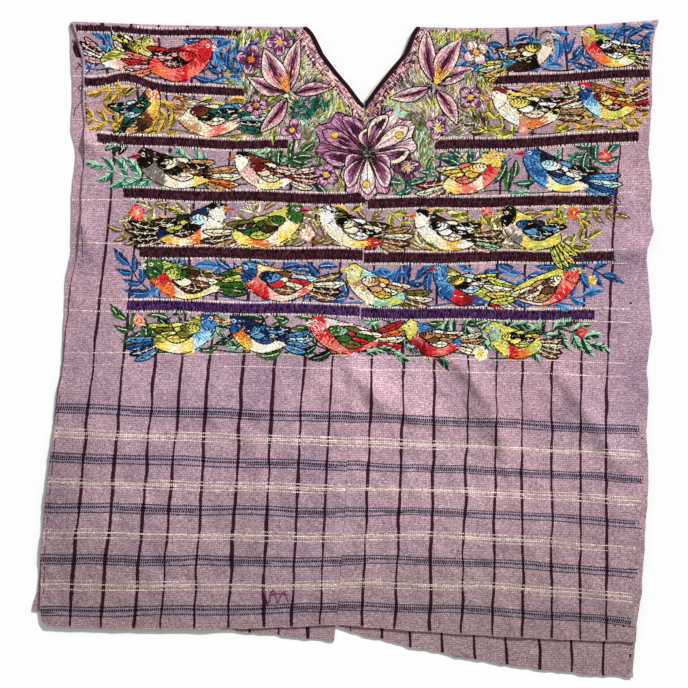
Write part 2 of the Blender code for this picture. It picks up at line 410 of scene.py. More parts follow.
def bake_map(piece, rows, columns, faces, rims):
    """Lays the outer face, the inner face and the rim side by side in one map, with gaps between them."""
    place = loop_points(piece) % (rows * columns)
    u = 0.005 + 0.48 * np.tile(np.linspace(0.0, 1.0, columns), rows)[place]
    v = 0.01 + 0.98 * np.repeat(np.linspace(0.0, 1.0, rows), columns)[place]
    u[4 * faces:8 * faces] += 0.495
    rim = slice(8 * faces, 8 * faces + 4 * rims)
    step = np.repeat(np.arange(rims), 4) + np.tile([1, 0, 0, 1], rims)
    u[rim] = 0.985 + 0.012 * np.tile([0, 0, 1, 1], rims)
    v[rim] = 0.01 + 0.98 * step / rims
    lay_map(piece, u, v)


# ---------------------------------------------------------------- colours and materials
def linear(colour):
    """Scene-linear values of a colour given as 0 to 255 on screen."""
    value = np.asarray(colour, float) / 255.0
    return np.where(value <= 0.04045, value / 12.92, ((value + 0.055) / 1.055) ** 2.4)


THREADS = {
    "black": (17, 11, 6), "navy": (22, 40, 74), "blue": (38, 88, 148), "sky": (92, 156, 202),
    "ice": (184, 220, 230), "teal": (26, 102, 88), "mint": (152, 196, 162), "pine": (22, 54, 34),
    "green": (54, 98, 38), "olive": (116, 108, 44), "lime": (198, 202, 94), "yellow": (248, 212, 106),
    "gold": (236, 180, 74), "orange": (226, 120, 54), "coral": (236, 124, 108), "red": (200, 38, 46),
    "maroon": (116, 28, 36), "brown": (112, 66, 36), "umber": (58, 34, 22), "tan": (194, 150, 104),
    "cream": (255, 233, 198), "white": (255, 245, 234), "pink": (238, 178, 174), "blush": (246, 210, 194),
    "plum": (62, 24, 42), "indigo": (62, 34, 82), "violet": (114, 54, 92), "mauve": (154, 100, 134),
    "lilac": (208, 166, 186), "grey": (126, 118, 112), "satin": (58, 22, 34), "shade": (28, 9, 18),
    "worn": (78, 44, 50), "mulberry": (96, 60, 104), "rose": (196, 130, 144), "wine": (118, 52, 80),
    "shell": (252, 221, 210),
}


class Value:
    """What a node gives. It adds, multiplies and compares like a number, by further nodes."""

    def __init__(self, nodes, socket):
        self.nodes = nodes
        self.socket = socket

    def __add__(self, other):
        return self.nodes.math("ADD", self, other)

    def __sub__(self, other):
        return self.nodes.math("SUBTRACT", self, other)

    def __rsub__(self, other):
        return self.nodes.math("SUBTRACT", other, self)

    def __mul__(self, other):
        return self.nodes.math("MULTIPLY", self, other)

    def __lt__(self, other):
        return self.nodes.math("LESS_THAN", self, other)

    def __gt__(self, other):
        return self.nodes.math("GREATER_THAN", self, other)


class Nodes:
    """Short names for the nodes of one material. A colour is given as three values, 0 to 255, on screen."""

    def __init__(self, name, roughness, sheen):
        self.material = bpy.data.materials.new(name)
        self.material.use_nodes = True
        self.tree = self.material.node_tree
        self.shader = self.tree.nodes["Principled BSDF"]
        self.shader.inputs["Roughness"].default_value = roughness
        self.shader.inputs["Sheen Weight"].default_value = sheen
        self.shader.inputs["Sheen Roughness"].default_value = 0.5
        self.shader.inputs["Specular IOR Level"].default_value = THREAD_SPECULAR

    def feed(self, socket, value):
        """Links another node's value to an input, or sets it to a colour or a number."""
        if isinstance(value, Value):
            self.tree.links.new(value.socket, socket)
        elif isinstance(value, tuple):
            socket.default_value = (*linear(value), 1.0)
        else:
            socket.default_value = value

    def node(self, kind, feeds=(), output=0, **settings):
        """What a new node gives, with its settings and what feeds its inputs."""
        made = self.tree.nodes.new(kind)
        for key, value in settings.items():
            setattr(made, key, value)
        for key, value in feeds:
            self.feed(made.inputs[key], value)
        return Value(self, made.outputs[output])

    def math(self, operation, first, second=0.0, clamp=False):
        feeds = ((0, first), (1, second))
        return self.node("ShaderNodeMath", feeds, operation=operation, use_clamp=clamp)

    def attribute(self, name, output="Fac"):
        return self.node("ShaderNodeAttribute", output=output, attribute_name=name)

    def place(self):
        return self.node("ShaderNodeTexCoord", output="Object")

    def noise(self, scale, long=1.0, turn=0.0, detail=2.0):
        """Noise of scale features to a metre, drawn out by long along the direction turn, in degrees."""
        spin = [0.0, 0.0, math.radians(turn)]
        feeds = (("Vector", self.place()), ("Scale", [long, 1.0, 1.0]), ("Rotation", spin))
        mapped = self.node("ShaderNodeMapping", feeds, vector_type="TEXTURE")
        feeds = (("Vector", mapped), ("Scale", scale), ("Detail", detail))
        return self.node("ShaderNodeTexNoise", feeds, "Fac")

    def mix(self, share, first, second, blend="MIX"):
        feeds = (("Factor", share), (6, first), (7, second))
        return self.node("ShaderNodeMix", feeds, 2, data_type="RGBA", blend_type=blend)

    def spread(self, value, low, high):
        """Value stretched from low..high to 0..1."""
        return self.math("MULTIPLY", value - low, 1.0 / (high - low), clamp=True)

    def varied(self, colour, value, amount):
        """Colour made lighter and darker by a value round 0.5, by up to amount."""
        return self.mix(1.0, colour, self.grey(value * (2.0 * amount) + (1.0 - amount)), "MULTIPLY")

    def within(self, value, place, half_width):
        """1 where value is within half_width of place, else 0."""
        return self.math("ABSOLUTE", value - place) < half_width

    def most(self, values):
        return reduce(lambda first, second: self.math("MAXIMUM", first, second), values)

    def grey(self, value):
        return self.node("ShaderNodeCombineColor", [(channel, value) for channel in range(3)])

    def finish(self, colour, height, strength, distance):
        """Gives the shader its colour and a bump of height."""
        self.feed(self.shader.inputs["Base Color"], colour)
        feeds = (("Strength", strength), ("Distance", distance), ("Height", height))
        self.feed(self.shader.inputs["Normal"], self.node("ShaderNodeBump", feeds))
        return self.material


# ---------------------------------------------------------------- the two panels
COLUMNS = 94
FRONT_STEP = 4.0
BACK_STEP = 8.5
TURN_STEPS = 6
STRIPE_SPACING = 37.0
BAND_SPACING = 70.0
CHECK_SPACING = 62.0
DOT_SPACING = 2.7
RIB_SPACING = 2.7
PALE_HEM = 1.7          # how far up from the front's hem the cloth is paler and tanner
BACK_TONE = 1.06        # how much lighter the back is
FAR = 60.0              # distances to the edges are told up to this
NARROWER_RIGHT = 0.18   # how much narrower the stripes and navy checks are on the right panel
SELVEDGE_WANDER = 0.7
BACK_FRAY = 1.6
FRONT_FRAY = 0.5
SHARP_ANGLE = 50.0
THREAD_SPECULAR = 0.04

# Plum stripes of the warp, as far across as they are at three heights of the front and at the back hem.
STRIPE_HEIGHTS = (182.0, -59.0, -345.0)
STRIPE_PLACES = "upper middle hem back_hem"
STRIPES = {
    "left": table(
        STRIPE_PLACES,
        (-298, -324, -349, -355), (-262, -285, -309, -315), (-227, -244, -267, -275),
        (-192, -210, -234, -240), (-152, -176, -191, -200), (-112, -132, -147, -158),
        (-71, -92, -104, -122), (-36, -55, -68, -85), (0, -19, -31, -46),
    ),
    "right": table(
        STRIPE_PLACES,
        (37, 33, 21, 6), (75, 74, 63, 47), (116, 114, 107, 83), (156, 156, 148, 123), (194, 191, 187, 164),
        (231, 224, 225, 204), (269, 261, 262, 247), (306, 298, 298, 287), (342, 330, 331, 328),
    ),
}

# Above the upper height the front's stripes lean: how far to the right they are at each height.
STRIPE_LEAN = {
    "left": ((182.0, 265.0, 398.0), (0.0, 7.0, -9.0)),
    "right": ((182.0, 265.0, 347.0), (0.0, 7.0, 12.0)),
}

# Soft lighter and darker patches, mostly painted light and shade: lighter in the middle and at the right
# edge, darker at the left margin, beside creases and towards the hems. The small dark one at (152, -396) is a
# stain. change is a share of its light.
SHADE_AND_STAIN_PATCHES = table(
    "x y across up change",
    (-370, -160, 62, 150, -0.26), (-370, 40, 40, 120, -0.10), (0, -430, 900, 190, -0.36),
    (320, -420, 170, 120, -0.10), (52, -36, 90, 60, 0.14), (120, -160, 130, 90, 0.10),
    (-130, -60, 120, 60, 0.04), (196, -60, 40, 60, -0.16), (-130, -215, 60, 40, -0.10),
    (300, -245, 90, 40, -0.10), (-345, 230, 16, 190, -0.10), (-330, -320, 150, 90, -0.09),
    (-160, -60, 30, 50, -0.06), (30, -50, 40, 40, 0.05), (152, -396, 8, 6, -0.35), (374, 110, 34, 90, 0.12),
    (-190, -230, 210, 150, -0.045),
)


def stripe_x(panel, stripe, layer, y):
    if layer == "back":
        return np.interp(y, STRIPE_HEIGHTS[::-1], (stripe.back_hem, stripe.middle, stripe.upper))
    lean = np.interp(y, *STRIPE_LEAN[panel])
    return lean + np.interp(y, STRIPE_HEIGHTS[::-1], (stripe.hem, stripe.middle, stripe.upper))


def warp_count(panel, layer, x, y):
    """Counts the stripes from the panel's left: whole numbers lie on them, 0 and 10 on the edges."""
    low, high = panel_edges(panel, layer, y)
    places = [low] + [stripe_x(panel, stripe, layer, y) for stripe in STRIPES[panel]] + [high]
    return sum(
        np.clip((x - here) / np.maximum(onward - here, 4.0), 0.0, 1.0)
        for here, onward in zip(places, places[1:])
    )


def pick_count(panel, share, y):
    """Counts the weft lines downwards, by their pick numbers."""
    lines = (FOLD, *BODY_LINES)
    total = np.full(np.broadcast(share, y).shape, FOLD.pick, float)
    for upper, lower in zip(lines, lines[1:]):
        top, bottom = line_height(upper, panel, share), line_height(lower, panel, share)
        reach = (top - y) / (top - bottom)
        most = 2.0 if lower is BODY_LINES[-1] else 1.0
        total += np.clip(reach, 0.0, most) * (lower.pick - upper.pick)
    return total


# Painted light and shade, with one stain, as a factor that multiplies the cloth's colour.
def shade_and_stain_tone(x, y):
    total = np.ones_like(x)
    for patch in SHADE_AND_STAIN_PATCHES:
        off = ((x - patch.x) / patch.across) ** 2 + ((y - patch.y) / patch.up) ** 2
        total += patch.change * np.exp(-off)
    return total


def wander(along_edge, seed):
    """A small uneven waver between about -1 and 1."""
    return (
        np.sin(along_edge / 9.1 + seed) + 0.7 * np.sin(along_edge / 4.3 + 2.1 * seed)
        + 0.5 * np.sin(along_edge / 2.3 + 3.7 * seed)
    ) / 2.2


def half_grid(panel, layer):
    """(x, y, share) of one half of a panel, from the shoulder fold down to its hem."""
    share = np.linspace(0.0, 1.0, COLUMNS + 1)[None, :]
    top = line_height(FOLD, panel, share) - FOLD_INSET
    front = (FRONT_HEM, FRONT_STEP, FRONT_FRAY)
    hem, step, fray = front if layer == "front" else (BACK_HEM, BACK_STEP, BACK_FRAY)
    bottom = line_height(hem, panel, share) + fray * wander(share * 370.0, 1.0)
    rows = round(float(np.mean(top - bottom)) / step)
    y = top + np.linspace(0.0, 1.0, rows + 1)[:, None] * (bottom - top)
    low, high = panel_edges(panel, layer, y)
    if panel == "left":
        low = low + SELVEDGE_WANDER * wander(y, 2.0)
    else:
        high = high + SELVEDGE_WANDER * wander(y, 5.0)
    return low + share * (high - low), y, np.broadcast_to(share, y.shape)


def fold_turn():
    """How far out and up the round fold goes, at each of its steps, from the middle of the back's wall."""
    for step in range(1, TURN_STEPS):
        angle = math.pi * step / TURN_STEPS - math.pi / 2.0
        yield FOLD_RADIUS * math.cos(angle), FOLD_RADIUS * (1.0 + math.sin(angle))


def panel_piece(panel, material):
    """One loom width, from the back hem over the shoulder to the front hem, as a thin shell, and its area."""
    back_x, back_y, back_share = half_grid(panel, "back")
    front_x, front_y, front_share = half_grid(panel, "front")
    back = np.stack([back_x, back_y, BACK_MIDDLE + back_lift(back_x, back_y)], -1)[::-1]
    front = np.stack([front_x, front_y, front_height(front_x, front_y)], -1)
    turn = np.array([
        np.stack([front_x[0], front_y[0] + out, np.full_like(front_x[0], BACK_MIDDLE + up)], -1)
        for out, up in fold_turn()
    ])
    middle = np.concatenate([back, turn, front])
    x, y = middle[:, :, 0], middle[:, :, 1]
    share = np.concatenate([back_share[::-1], np.tile(front_share[:1], (len(turn), 1)), front_share])
    is_front = np.broadcast_to(np.arange(len(middle))[:, None] >= len(back), x.shape)
    values = {
        "warp": np.where(is_front, warp_count(panel, "front", x, y), warp_count(panel, "back", x, y)),
        "pick": pick_count(panel, share, y),
        # the patches' painted light and shade and their stain, times the back's lighter tone
        "shade_stain_and_tone": shade_and_stain_tone(x, y) * np.where(is_front, 1.0, BACK_TONE),
        "edge": np.clip(along(SIDES, y, "right") - x, 0.0, FAR),
        "hem": np.where(is_front, np.clip(y - weft_height(FRONT_HEM, x), 0.0, FAR), FAR),
        "front": is_front.astype(float),
    }
    piece = cloth_shell(f"{panel}_cloth", middle, CLOTH_WALL, values, material)
    area = 0.0
    for grid in (back, turn, front):
        across, down = np.diff(grid, axis=1)[:-1], np.diff(grid, axis=0)[:, :-1]
        area += float(np.linalg.norm(np.cross(across, down), axis=2).sum()) * MM * MM
    return piece, area


def cloth_material():
    nodes = Nodes("handwoven_mauve", 0.92, 0.04)
    noise, spread, mix, within = nodes.noise, nodes.spread, nodes.mix, nodes.within
    place = nodes.place()
    across, down = (
        nodes.node("ShaderNodeSeparateXYZ", [(0, place)], axis) * (1.0 / MM) for axis in "XY"
    )
    names = ("warp", "pick", "edge", "hem", "front", "shade_stain_and_tone")
    warp, pick, edge, hem, front, shade_stain_and_tone = (nodes.attribute(name) for name in names)

    # Mauve, cooler and pinker in clouds, that turns to a brown mauve towards the hem.
    ground = mix(spread(noise(13, detail=4.0), 0.35, 0.65), (158, 130, 147), (184, 154, 167))
    ground = mix(spread(noise(6.0), 0.45, 0.62) * 0.5, ground, (190, 152, 162))
    soiled = spread(down, -80.0, -380.0) * (spread(noise(7.0), 0.4, 0.6) * 0.4 + 0.6)
    ground = mix(soiled, ground, (180, 152, 157))
    smears = spread(noise(9.0, detail=3.0), 0.50, 0.62) * spread(down, -40.0, -300.0)
    ground = mix(smears * 0.42, ground, (178, 152, 149))
    # Diagonal streaks, the same ones that crease the bump at the end, make the colour a little lighter and
    # darker: painted sheen and shade along fine creases.
    streaks = noise(230, 3.0, 38.0, 3.0)
    ground = nodes.varied(ground, spread(streaks, 0.3, 0.7), 0.05)

    # The checks' own grounds: pale blue-grey between the navy lines, tan between the cream ones. They are
    # on the front alone, below its last open pair, and end unevenly at its right edge.
    check = (pick > -0.3) * (front * (pick < 4.2)) * (edge > noise(300, detail=0.0) * 16.0 + 1.0)
    uneven = (noise(26, detail=1.0) - 0.5) * 2.6
    narrowed = spread(across, 20.0, 60.0) * NARROWER_RIGHT
    nearest = nodes.math("ROUND", pick)
    from_blue = ((pick - nearest) * CHECK_SPACING + uneven) * (narrowed + 1.0)
    from_cream = (pick - (nodes.math("FLOOR", pick) + 0.5)) * CHECK_SPACING + uneven
    in_blue = within(from_blue, 0.0, 6.4) * check
    in_cream = within(from_cream, 0.0, 6.0) * check
    ground = mix(in_blue * 0.55, ground, (148, 134, 158))
    ground = mix(in_cream * 0.30, ground, (188, 164, 156))

    # Plum stripes with uneven edges.
    sway = (noise(24, detail=1.0) - 0.5) * 6.0
    from_stripe = (warp - nodes.math("ROUND", warp)) * STRIPE_SPACING + sway
    thin = spread(noise(15, 0.3, 0.0, 1.0), 0.34, 0.62) * 1.25
    wide = (noise(560, 3.0, 0.0, 1.0) * 1.5 + thin + 0.45) * (1.0 - narrowed)
    stripe = (nodes.math("ABSOLUTE", from_stripe) < wide) * ((warp > 0.5) * (warp < 9.5))
    ground = mix(stripe * 0.97, ground, nodes.varied((48, 6, 24), noise(500, 2.5), 0.6))

    # Floats of thicker weft: dots along each line, a stitch apart.
    beat = (across + noise(150) * 3.0) * (2.0 * math.pi / DOT_SPACING)
    dots = spread(nodes.math("SINE", beat), -0.65, -0.25)
    other_dots = spread(nodes.math("COSINE", beat), -0.7, -0.3)
    broken_dots = other_dots * spread(noise(34, 3.0), 0.46, 0.5)
    lines = ((-5.7, 1.15, dots), (5.6, 1.1, dots), (-1.2, 1.45, dots), (1.8, 1.1, broken_dots))
    navy = nodes.most(within(from_blue, off, half) * kind for off, half, kind in lines) * in_blue
    ground = mix(navy, ground, (8, 5, 28))
    lines = ((-5.3, dots, 31), (-1.0, other_dots, 23), (1.1, dots, 37), (5.2, dots, 27))
    cream = nodes.most(
        within(from_cream, off, 0.72) * kind * spread(noise(scale, 5.0), 0.40, 0.52)
        for off, kind, scale in lines
    )
    cream = nodes.most((cream, within(from_cream, -1.0, 0.7) * dots)) * in_cream
    from_band = (pick - nearest) * BAND_SPACING
    pair = nodes.most(within(from_band, off, 0.6) for off in (-8.3, 8.3)) * within(pick, -3.5, 3.1)
    pair = pair * (dots * spread(noise(70, 40.0), 0.36, 0.42)) * (edge > 26.0)
    light = nodes.most((cream * 0.86, pair * 0.8))
    ground = mix(light, ground, (250, 228, 212))
    # A paler, tanner strip along the front's hem.
    ground = mix((hem < PALE_HEM) * 0.5, ground, (200, 172, 154))

    # The weave's own ribs, across and down, that lose step with each other, and its grain.
    slip = noise(110, 3.0, 0.0, 1.0) * 9.0
    for way, spacing, amount in ((down, RIB_SPACING, 0.17), (across, DOT_SPACING, 0.10)):
        rib = nodes.math("SINE", way * (2.0 * math.pi / spacing) + slip) * 0.5 + 0.5
        ground = nodes.varied(ground, rib, amount)
    for scale, long, turn, amount in ((900, 3.0, 0.0, 0.40), (760, 1.0, 0.0, 0.30), (700, 2.4, 65.0, 0.22)):
        ground = nodes.varied(ground, spread(noise(scale, long, turn, 1.0), 0.3, 0.7), amount)
    # The patches' painted light and shade multiplies the colour here.
    colour = mix(1.0, ground, nodes.grey(shade_stain_and_tone), "MULTIPLY")

    weave = noise(900, 4.0, 0.0, 1.0) + noise(900, 4.0, 90.0, 1.0) + (light * 0.8 + navy * 0.8)
    creased = streaks * 2.2
    for scale, turn, depth in ((62, -35.0, 7.0), (80, 70.0, 5.0)):
        creased = creased + noise(scale, 2.2, turn) * depth
    return nodes.finish(colour, weave + creased, 0.5, 0.0006)


# ---------------------------------------------------------------- stitches
PITCH = 1.0             # from one laid thread to the next
THREAD_WIDTH = 1.4
THREAD_HEIGHT = 0.5
LINE_HEIGHT = 0.36      # a stitch's height, where it is one of a line's
OUTLINE_WIDTH = 1.8
STEM_WIDTH = 1.8
BLADE_WIDTH = 1.5
TAPER = 0.12            # the share of a stitch that each of its tapering ends takes
SUNK = 0.05             # how far into the cloth a stitch's underside goes
DEPTH_MEAN = 0.13       # the log of how much lighter than its thread a stitch is, in the middle
DEPTH_SPREAD = 0.25     # how unlike each other the stitches of one thread look
DEPTH_LIMITS = (-0.9, 0.7)
LIGHTEST = 0.95
GLINT = 0.025           # the share of a shape's stitches that catch the light
EDGE_ROOM = 2.0         # how far from the cloth's sides and hem stitches end
BACK_ROOM = 3.0
CLAIM_LOW = (-410.0, -430.0)
CLAIM_CELL = 0.8
CLAIM_ROWS, CLAIM_COLUMNS = 1080, 1030
LEAF_POINTS = 10
CURVE_STEPS = 4
random = np.random.default_rng(11)


def turned(points, angle):
    cosine, sine = heading(angle)
    x, y = points[:, 0], points[:, 1]
    return np.stack([x * cosine - y * sine, x * sine + y * cosine], -1)


def ellipse(x, y, across, up, points, tilt=0.0):
    around = np.linspace(0.0, 2.0 * math.pi, points, endpoint=False)
    ring = np.stack([across * np.cos(around), up * np.sin(around)], -1)
    return turned(ring, tilt) + (x, y)


def leaf(start, end, width, bow=0.0, widest=0.45, blunt=1.0):
    """A pointed shape from start to end, round ended if blunt is under 1; bow is a share of its length."""
    start, end = np.asarray(start, float), np.asarray(end, float)
    share = np.linspace(0.0, 1.0, LEAF_POINTS)
    power = math.log(0.5) / math.log(widest)
    half = width / 2.0 * np.clip(np.sin(math.pi * share ** power), 0.0, 1.0) ** blunt
    length = np.linalg.norm(end - start)
    side = left_of((end - start) / length)
    bend = bow * length * np.sin(math.pi * share)
    spine = start + share[:, None] * (end - start) + bend[:, None] * side
    return np.concatenate([spine + half[:, None] * side, (spine - half[:, None] * side)[-2:0:-1]])


def midrib(start, end, bow):
    """The middle line of such a shape."""
    return leaf(start, end, 0.0, bow)[:LEAF_POINTS]


def curved(corners):
    """A smooth closed outline through its corners, with CURVE_STEPS points to each."""
    corners = np.asarray(corners, float)
    before, after, beyond = np.roll(corners, 1, 0), np.roll(corners, -1, 0), np.roll(corners, -2, 0)
    points = []
    for share in np.arange(CURVE_STEPS) / CURVE_STEPS:
        points.append(0.5 * (
            2.0 * corners + (after - before) * share
            + (2.0 * before - 5.0 * corners + 4.0 * after - beyond) * (share * share)
            + (3.0 * corners - before - 3.0 * after + beyond) * share ** 3
        ))
    return np.stack(points, 1).reshape(-1, 2)


class Embroidery:
    """Stitches in the order they are sewn, in steps: what the shape of a later step covers isn't made.

    claims says, for cells all over the cloth, which step covered each last; cloth and back say where
    the front, and what shows of the back, can be sewn on.
    """

    def __init__(self):
        self.pieces = {}
        self.piece = None
        self.step = 0
        self.low = np.array(CLAIM_LOW)
        self.claims = np.zeros((CLAIM_ROWS, CLAIM_COLUMNS), np.int32)
        x, y = np.broadcast_arrays(*self.middles(np.arange(CLAIM_COLUMNS), np.arange(CLAIM_ROWS)))
        left, right, hem = along(SIDES, y, "front_left"), along(SIDES, y, "right"), weft_height(FRONT_HEM, x)
        top = weft_height(FOLD, x) - FOLD_INSET
        inside = x < right - EDGE_ROOM
        self.cloth = inside & (x > left + EDGE_ROOM) & (y > hem + EDGE_ROOM) & (y < top - 0.5)
        self.cloth &= (y <= NECK_POINT) | (x <= along(NECK, y, "left")) | (x >= along(NECK, y, "right"))
        self.back = inside & (x > along(SIDES, y, "back_left") + 1.5)
        self.back &= (y < top - BACK_ROOM) & (y > weft_height(BACK_HEM, x) + BACK_ROOM)
        self.back &= (x < left - 0.6) | (y < hem - 1.0)

    def middles(self, columns, rows):
        """The middles of cells: a row of x and a column of y."""
        x = self.low[0] + (columns[None, :] + 0.5) * CLAIM_CELL
        return x, self.low[1] + (rows[:, None] + 0.5) * CLAIM_CELL

    def begin(self, piece):
        """What is sewn next belongs to this piece."""
        self.piece = self.pieces.setdefault(piece, [])

    def cover(self, outline):
        """Starts a new step, which takes the cells inside the outline."""
        self.step += 1
        most = np.array(self.claims.shape[::-1]) - 1
        first = np.clip(np.floor((outline.min(0) - self.low) / CLAIM_CELL).astype(int), 0, most)
        last = np.clip(np.ceil((outline.max(0) - self.low) / CLAIM_CELL).astype(int), 0, most)
        columns, rows = np.arange(first[0], last[0] + 1), np.arange(first[1], last[1] + 1)
        x, y = self.middles(columns, rows)
        inside = np.zeros((len(rows), len(columns)), bool)
        for (x1, y1), (x2, y2) in zip(outline, np.roll(outline, -1, axis=0)):
            if y1 != y2:
                inside ^= ((y1 > y) != (y2 > y)) & (x < x1 + (y - y1) * (x2 - x1) / (y2 - y1))
        self.claims[rows[0]:rows[-1] + 1, columns[0]:columns[-1] + 1][inside] = self.step

    def cell(self, x, y):
        row, column = int((y - self.low[1]) / CLAIM_CELL), int((x - self.low[0]) / CLAIM_CELL)
        return min(max(row, 0), CLAIM_ROWS - 1), min(max(column, 0), CLAIM_COLUMNS - 1)

    def is_cloth(self, place):
        return self.cloth[self.cell(*place)]

    def is_free(self, place):
        return self.claims[self.cell(*place)] == 0

    def sew(self, start, end, colour, width=THREAD_WIDTH, height=THREAD_HEIGHT, lift=0.0):
        """One straight stitch, if there is cloth under both its ends."""
        if self.is_cloth(start) and self.is_cloth(end):
            depth = math.exp(float(np.clip(random.normal(DEPTH_MEAN, DEPTH_SPREAD), *DEPTH_LIMITS)))
            tint = np.minimum(linear(THREADS[colour]) * depth, LIGHTEST)
            self.piece.append((*start, *end, width, height, lift, *tint, self.step))

    def fill(self, outline, colours, angle, length, blend=None, ragged=0.0, glint=GLINT):
        """Covers a shape with runs of long and short stitches, which overrun its edge by up to ragged.

        colours are mixed at random, or go from first to last in the direction blend, in degrees; a share
        of the stitches, glint, is cream.
        """
        self.cover(outline)
        names = colours.split()
        ahead = heading(angle)
        aside = left_of(ahead)
        u, v = outline @ ahead, outline @ aside
        toward = heading(angle if blend is None else blend)
        graded = outline @ toward
        next_u, next_v = np.roll(u, -1), np.roll(v, -1)
        for level in np.arange(v.min() + 0.35 * PITCH, v.max(), PITCH):
            crossed = (v > level) != (next_v > level)
            where = u[crossed] + (level - v[crossed]) * (next_u - u)[crossed] / (next_v - v)[crossed]
            where.sort()
            for low, high in zip(where[::2], where[1::2]):
                at = low + random.uniform(-0.5 - ragged, 0.3)
                least, most = 0.35, 1.0     # the first stitch can be short, so that ends don't line up
                while at < high - 0.9:
                    stop = at + length * random.uniform(least, most)
                    if stop > high - 1.6:
                        stop = high + random.uniform(-0.3, 0.5 + ragged)
                    start = ahead * (at - 0.3) + aside * level
                    end = ahead * (stop + 0.3) + aside * (level + random.uniform(-0.25, 0.25))
                    if blend is None:
                        index = random.integers(len(names))
                    else:
                        share = ((start + end) @ toward / 2.0 - graded.min()) / np.ptp(graded)
                        index = np.clip(share * len(names) + random.uniform(-0.35, 0.35), 0, len(names) - 1)
                    shines = random.random() < glint
                    self.sew(start, end, "cream" if shines else names[int(index)])
                    at, least, most = stop, 0.75, 1.2

    def stroke(self, points, colour, width=1.4, length=4.2, closed=False, lift=0.38, keep=1.0):
        """A line of stitches along a path; keep is the share of them that is sewn."""
        self.step += 1
        points = np.asarray(points, float)
        if closed:
            points = np.concatenate([points, points[:1]])
        gone = np.concatenate([[0.0], np.cumsum(np.linalg.norm(np.diff(points, axis=0), axis=1))])
        count = max(1, round(gone[-1] / length))
        stops = np.linspace(0.0, gone[-1], count + 1)
        places = np.stack([np.interp(stops, gone, points[:, axis]) for axis in (0, 1)], -1)
        for here, onward in zip(places, places[1:]):
            if keep >= 1.0 or random.random() < keep:
                self.sew(here, onward, colour, width, LINE_HEIGHT, lift)

    def build(self, material):
        """Makes the mesh objects and returns them."""
        made = []
        for name, stitches in self.pieces.items():
            rows = np.array(stitches)
            cells = (((rows[:, 0:2] + rows[:, 2:4]) / 2.0 - self.low) / CLAIM_CELL).astype(int)
            covered = self.claims[cells[:, 1], cells[:, 0]] > rows[:, 10]
            made.append(stitch_mesh(name, rows[~covered], material))
        return made


# A stitch's points: its start, three across its near end (the middle one on the ridge), three across its far
# end, and its end. The faces are its triangles and its quads.
RIDGE = (2, 5)
RIDGE_FACES = (
    ((0, 3, 2), (0, 2, 1), (6, 7, 5), (5, 7, 4), (0, 1, 3), (7, 6, 4)),
    ((3, 6, 5, 2), (2, 5, 4, 1), (1, 4, 6, 3)),
)


def stitch_mesh(name, rows, material):
    """Each stitch is a closed ridge that tapers to both ends: 8 points and 9 faces."""
    start, end = rows[:, 0:2], rows[:, 2:4]
    width, height, lift = rows[:, 4:5], rows[:, 5], rows[:, 6]
    direction = end - start
    direction /= np.linalg.norm(direction, axis=1, keepdims=True)
    side = np.stack([-direction[:, 1], direction[:, 0]], -1) * width / 2.0
    near, far = start + TAPER * (end - start), start + (1.0 - TAPER) * (end - start)
    flat = [start, near + side, near, near - side, far + side, far, far - side, end]
    points = np.zeros((len(rows), 8, 3))
    for number, place in enumerate(flat):
        ground = surface(place[:, 0], place[:, 1]) - SUNK
        points[:, number, :2] = place
        points[:, number, 2] = ground + lift + (number in RIDGE) * height
    base = 8 * np.arange(len(rows))[:, None, None]
    faces = [(base + np.array(corners)).reshape(-1, len(corners[0])) for corners in RIDGE_FACES]
    piece = new_object(name, points.reshape(-1, 3), faces, material)
    tint = np.ones((len(rows), 8, 4), np.float32)
    tint[:, :, :3] = rows[:, None, 7:10]
    layer = piece.data.attributes.new("thread", "FLOAT_COLOR", "POINT")
    layer.data.foreach_set("color", tint.ravel())
    stitch_map(piece, len(rows))
    return piece


def stitch_map(piece, count):
    """Gives each stitch a small cell of its own in the map."""
    side = math.ceil(math.sqrt(count))
    number, corner = np.divmod(loop_points(piece), 8)
    inset_u = np.array([0.2, 0.35, 0.35, 0.35, 0.65, 0.65, 0.65, 0.8])
    inset_v = np.array([0.5, 0.75, 0.5, 0.25, 0.75, 0.5, 0.25, 0.5])
    lay_map(piece, (number % side + inset_u[corner]) / side, (number // side + inset_v[corner]) / side)


def thread_material():
    nodes = Nodes("embroidery_thread", 0.6, 0.0)
    colour = nodes.varied(nodes.attribute("thread", "Color"), nodes.noise(900, detail=1.0), 0.14)
    return nodes.finish(colour, nodes.noise(1600, detail=1.0), 0.25, 0.0003)


# ---------------------------------------------------------------- satin bands
# A band lies along one weft line, between two places across, and tapers where its end is drawn narrower.
PLUM_SATIN = "satin shade satin worn"
BANDS = table(
    "pick start end height_start height_end colours",
    (-7, -350, -132, 6.5, 6.0, PLUM_SATIN), (-6, -330, -128, 9.5, 9.0, PLUM_SATIN),
    (-6, 188, 386, 9.5, 11.5, PLUM_SATIN), (-5, -314, -72, 10.5, 9.0, PLUM_SATIN),
    (-5, 114, 372, 11.0, 11.0, PLUM_SATIN), (-4, -281, 26, 11.5, 11.5, PLUM_SATIN),
    (-4, 29, 336, 11.5, 10.0, PLUM_SATIN), (-3, -261, 22, 12.5, 12.5, PLUM_SATIN),
    (-3, 24, 340, 12.0, 10.0, PLUM_SATIN), (-2, -275, 18, 11.5, 11.5, "indigo indigo shade mulberry"),
    (-2, 20, 316, 11.5, 10.5, "indigo indigo shade mulberry"),
)
TICK_PITCH = 2.4
TICK_REACH = 1.8


def weft_line(pick):
    return next(line for line in BODY_LINES if line.pick == pick)


def row_band(row):
    """The weft line of the band below a row of birds. Rows count from 1 at the top."""
    return weft_line(row - 7)


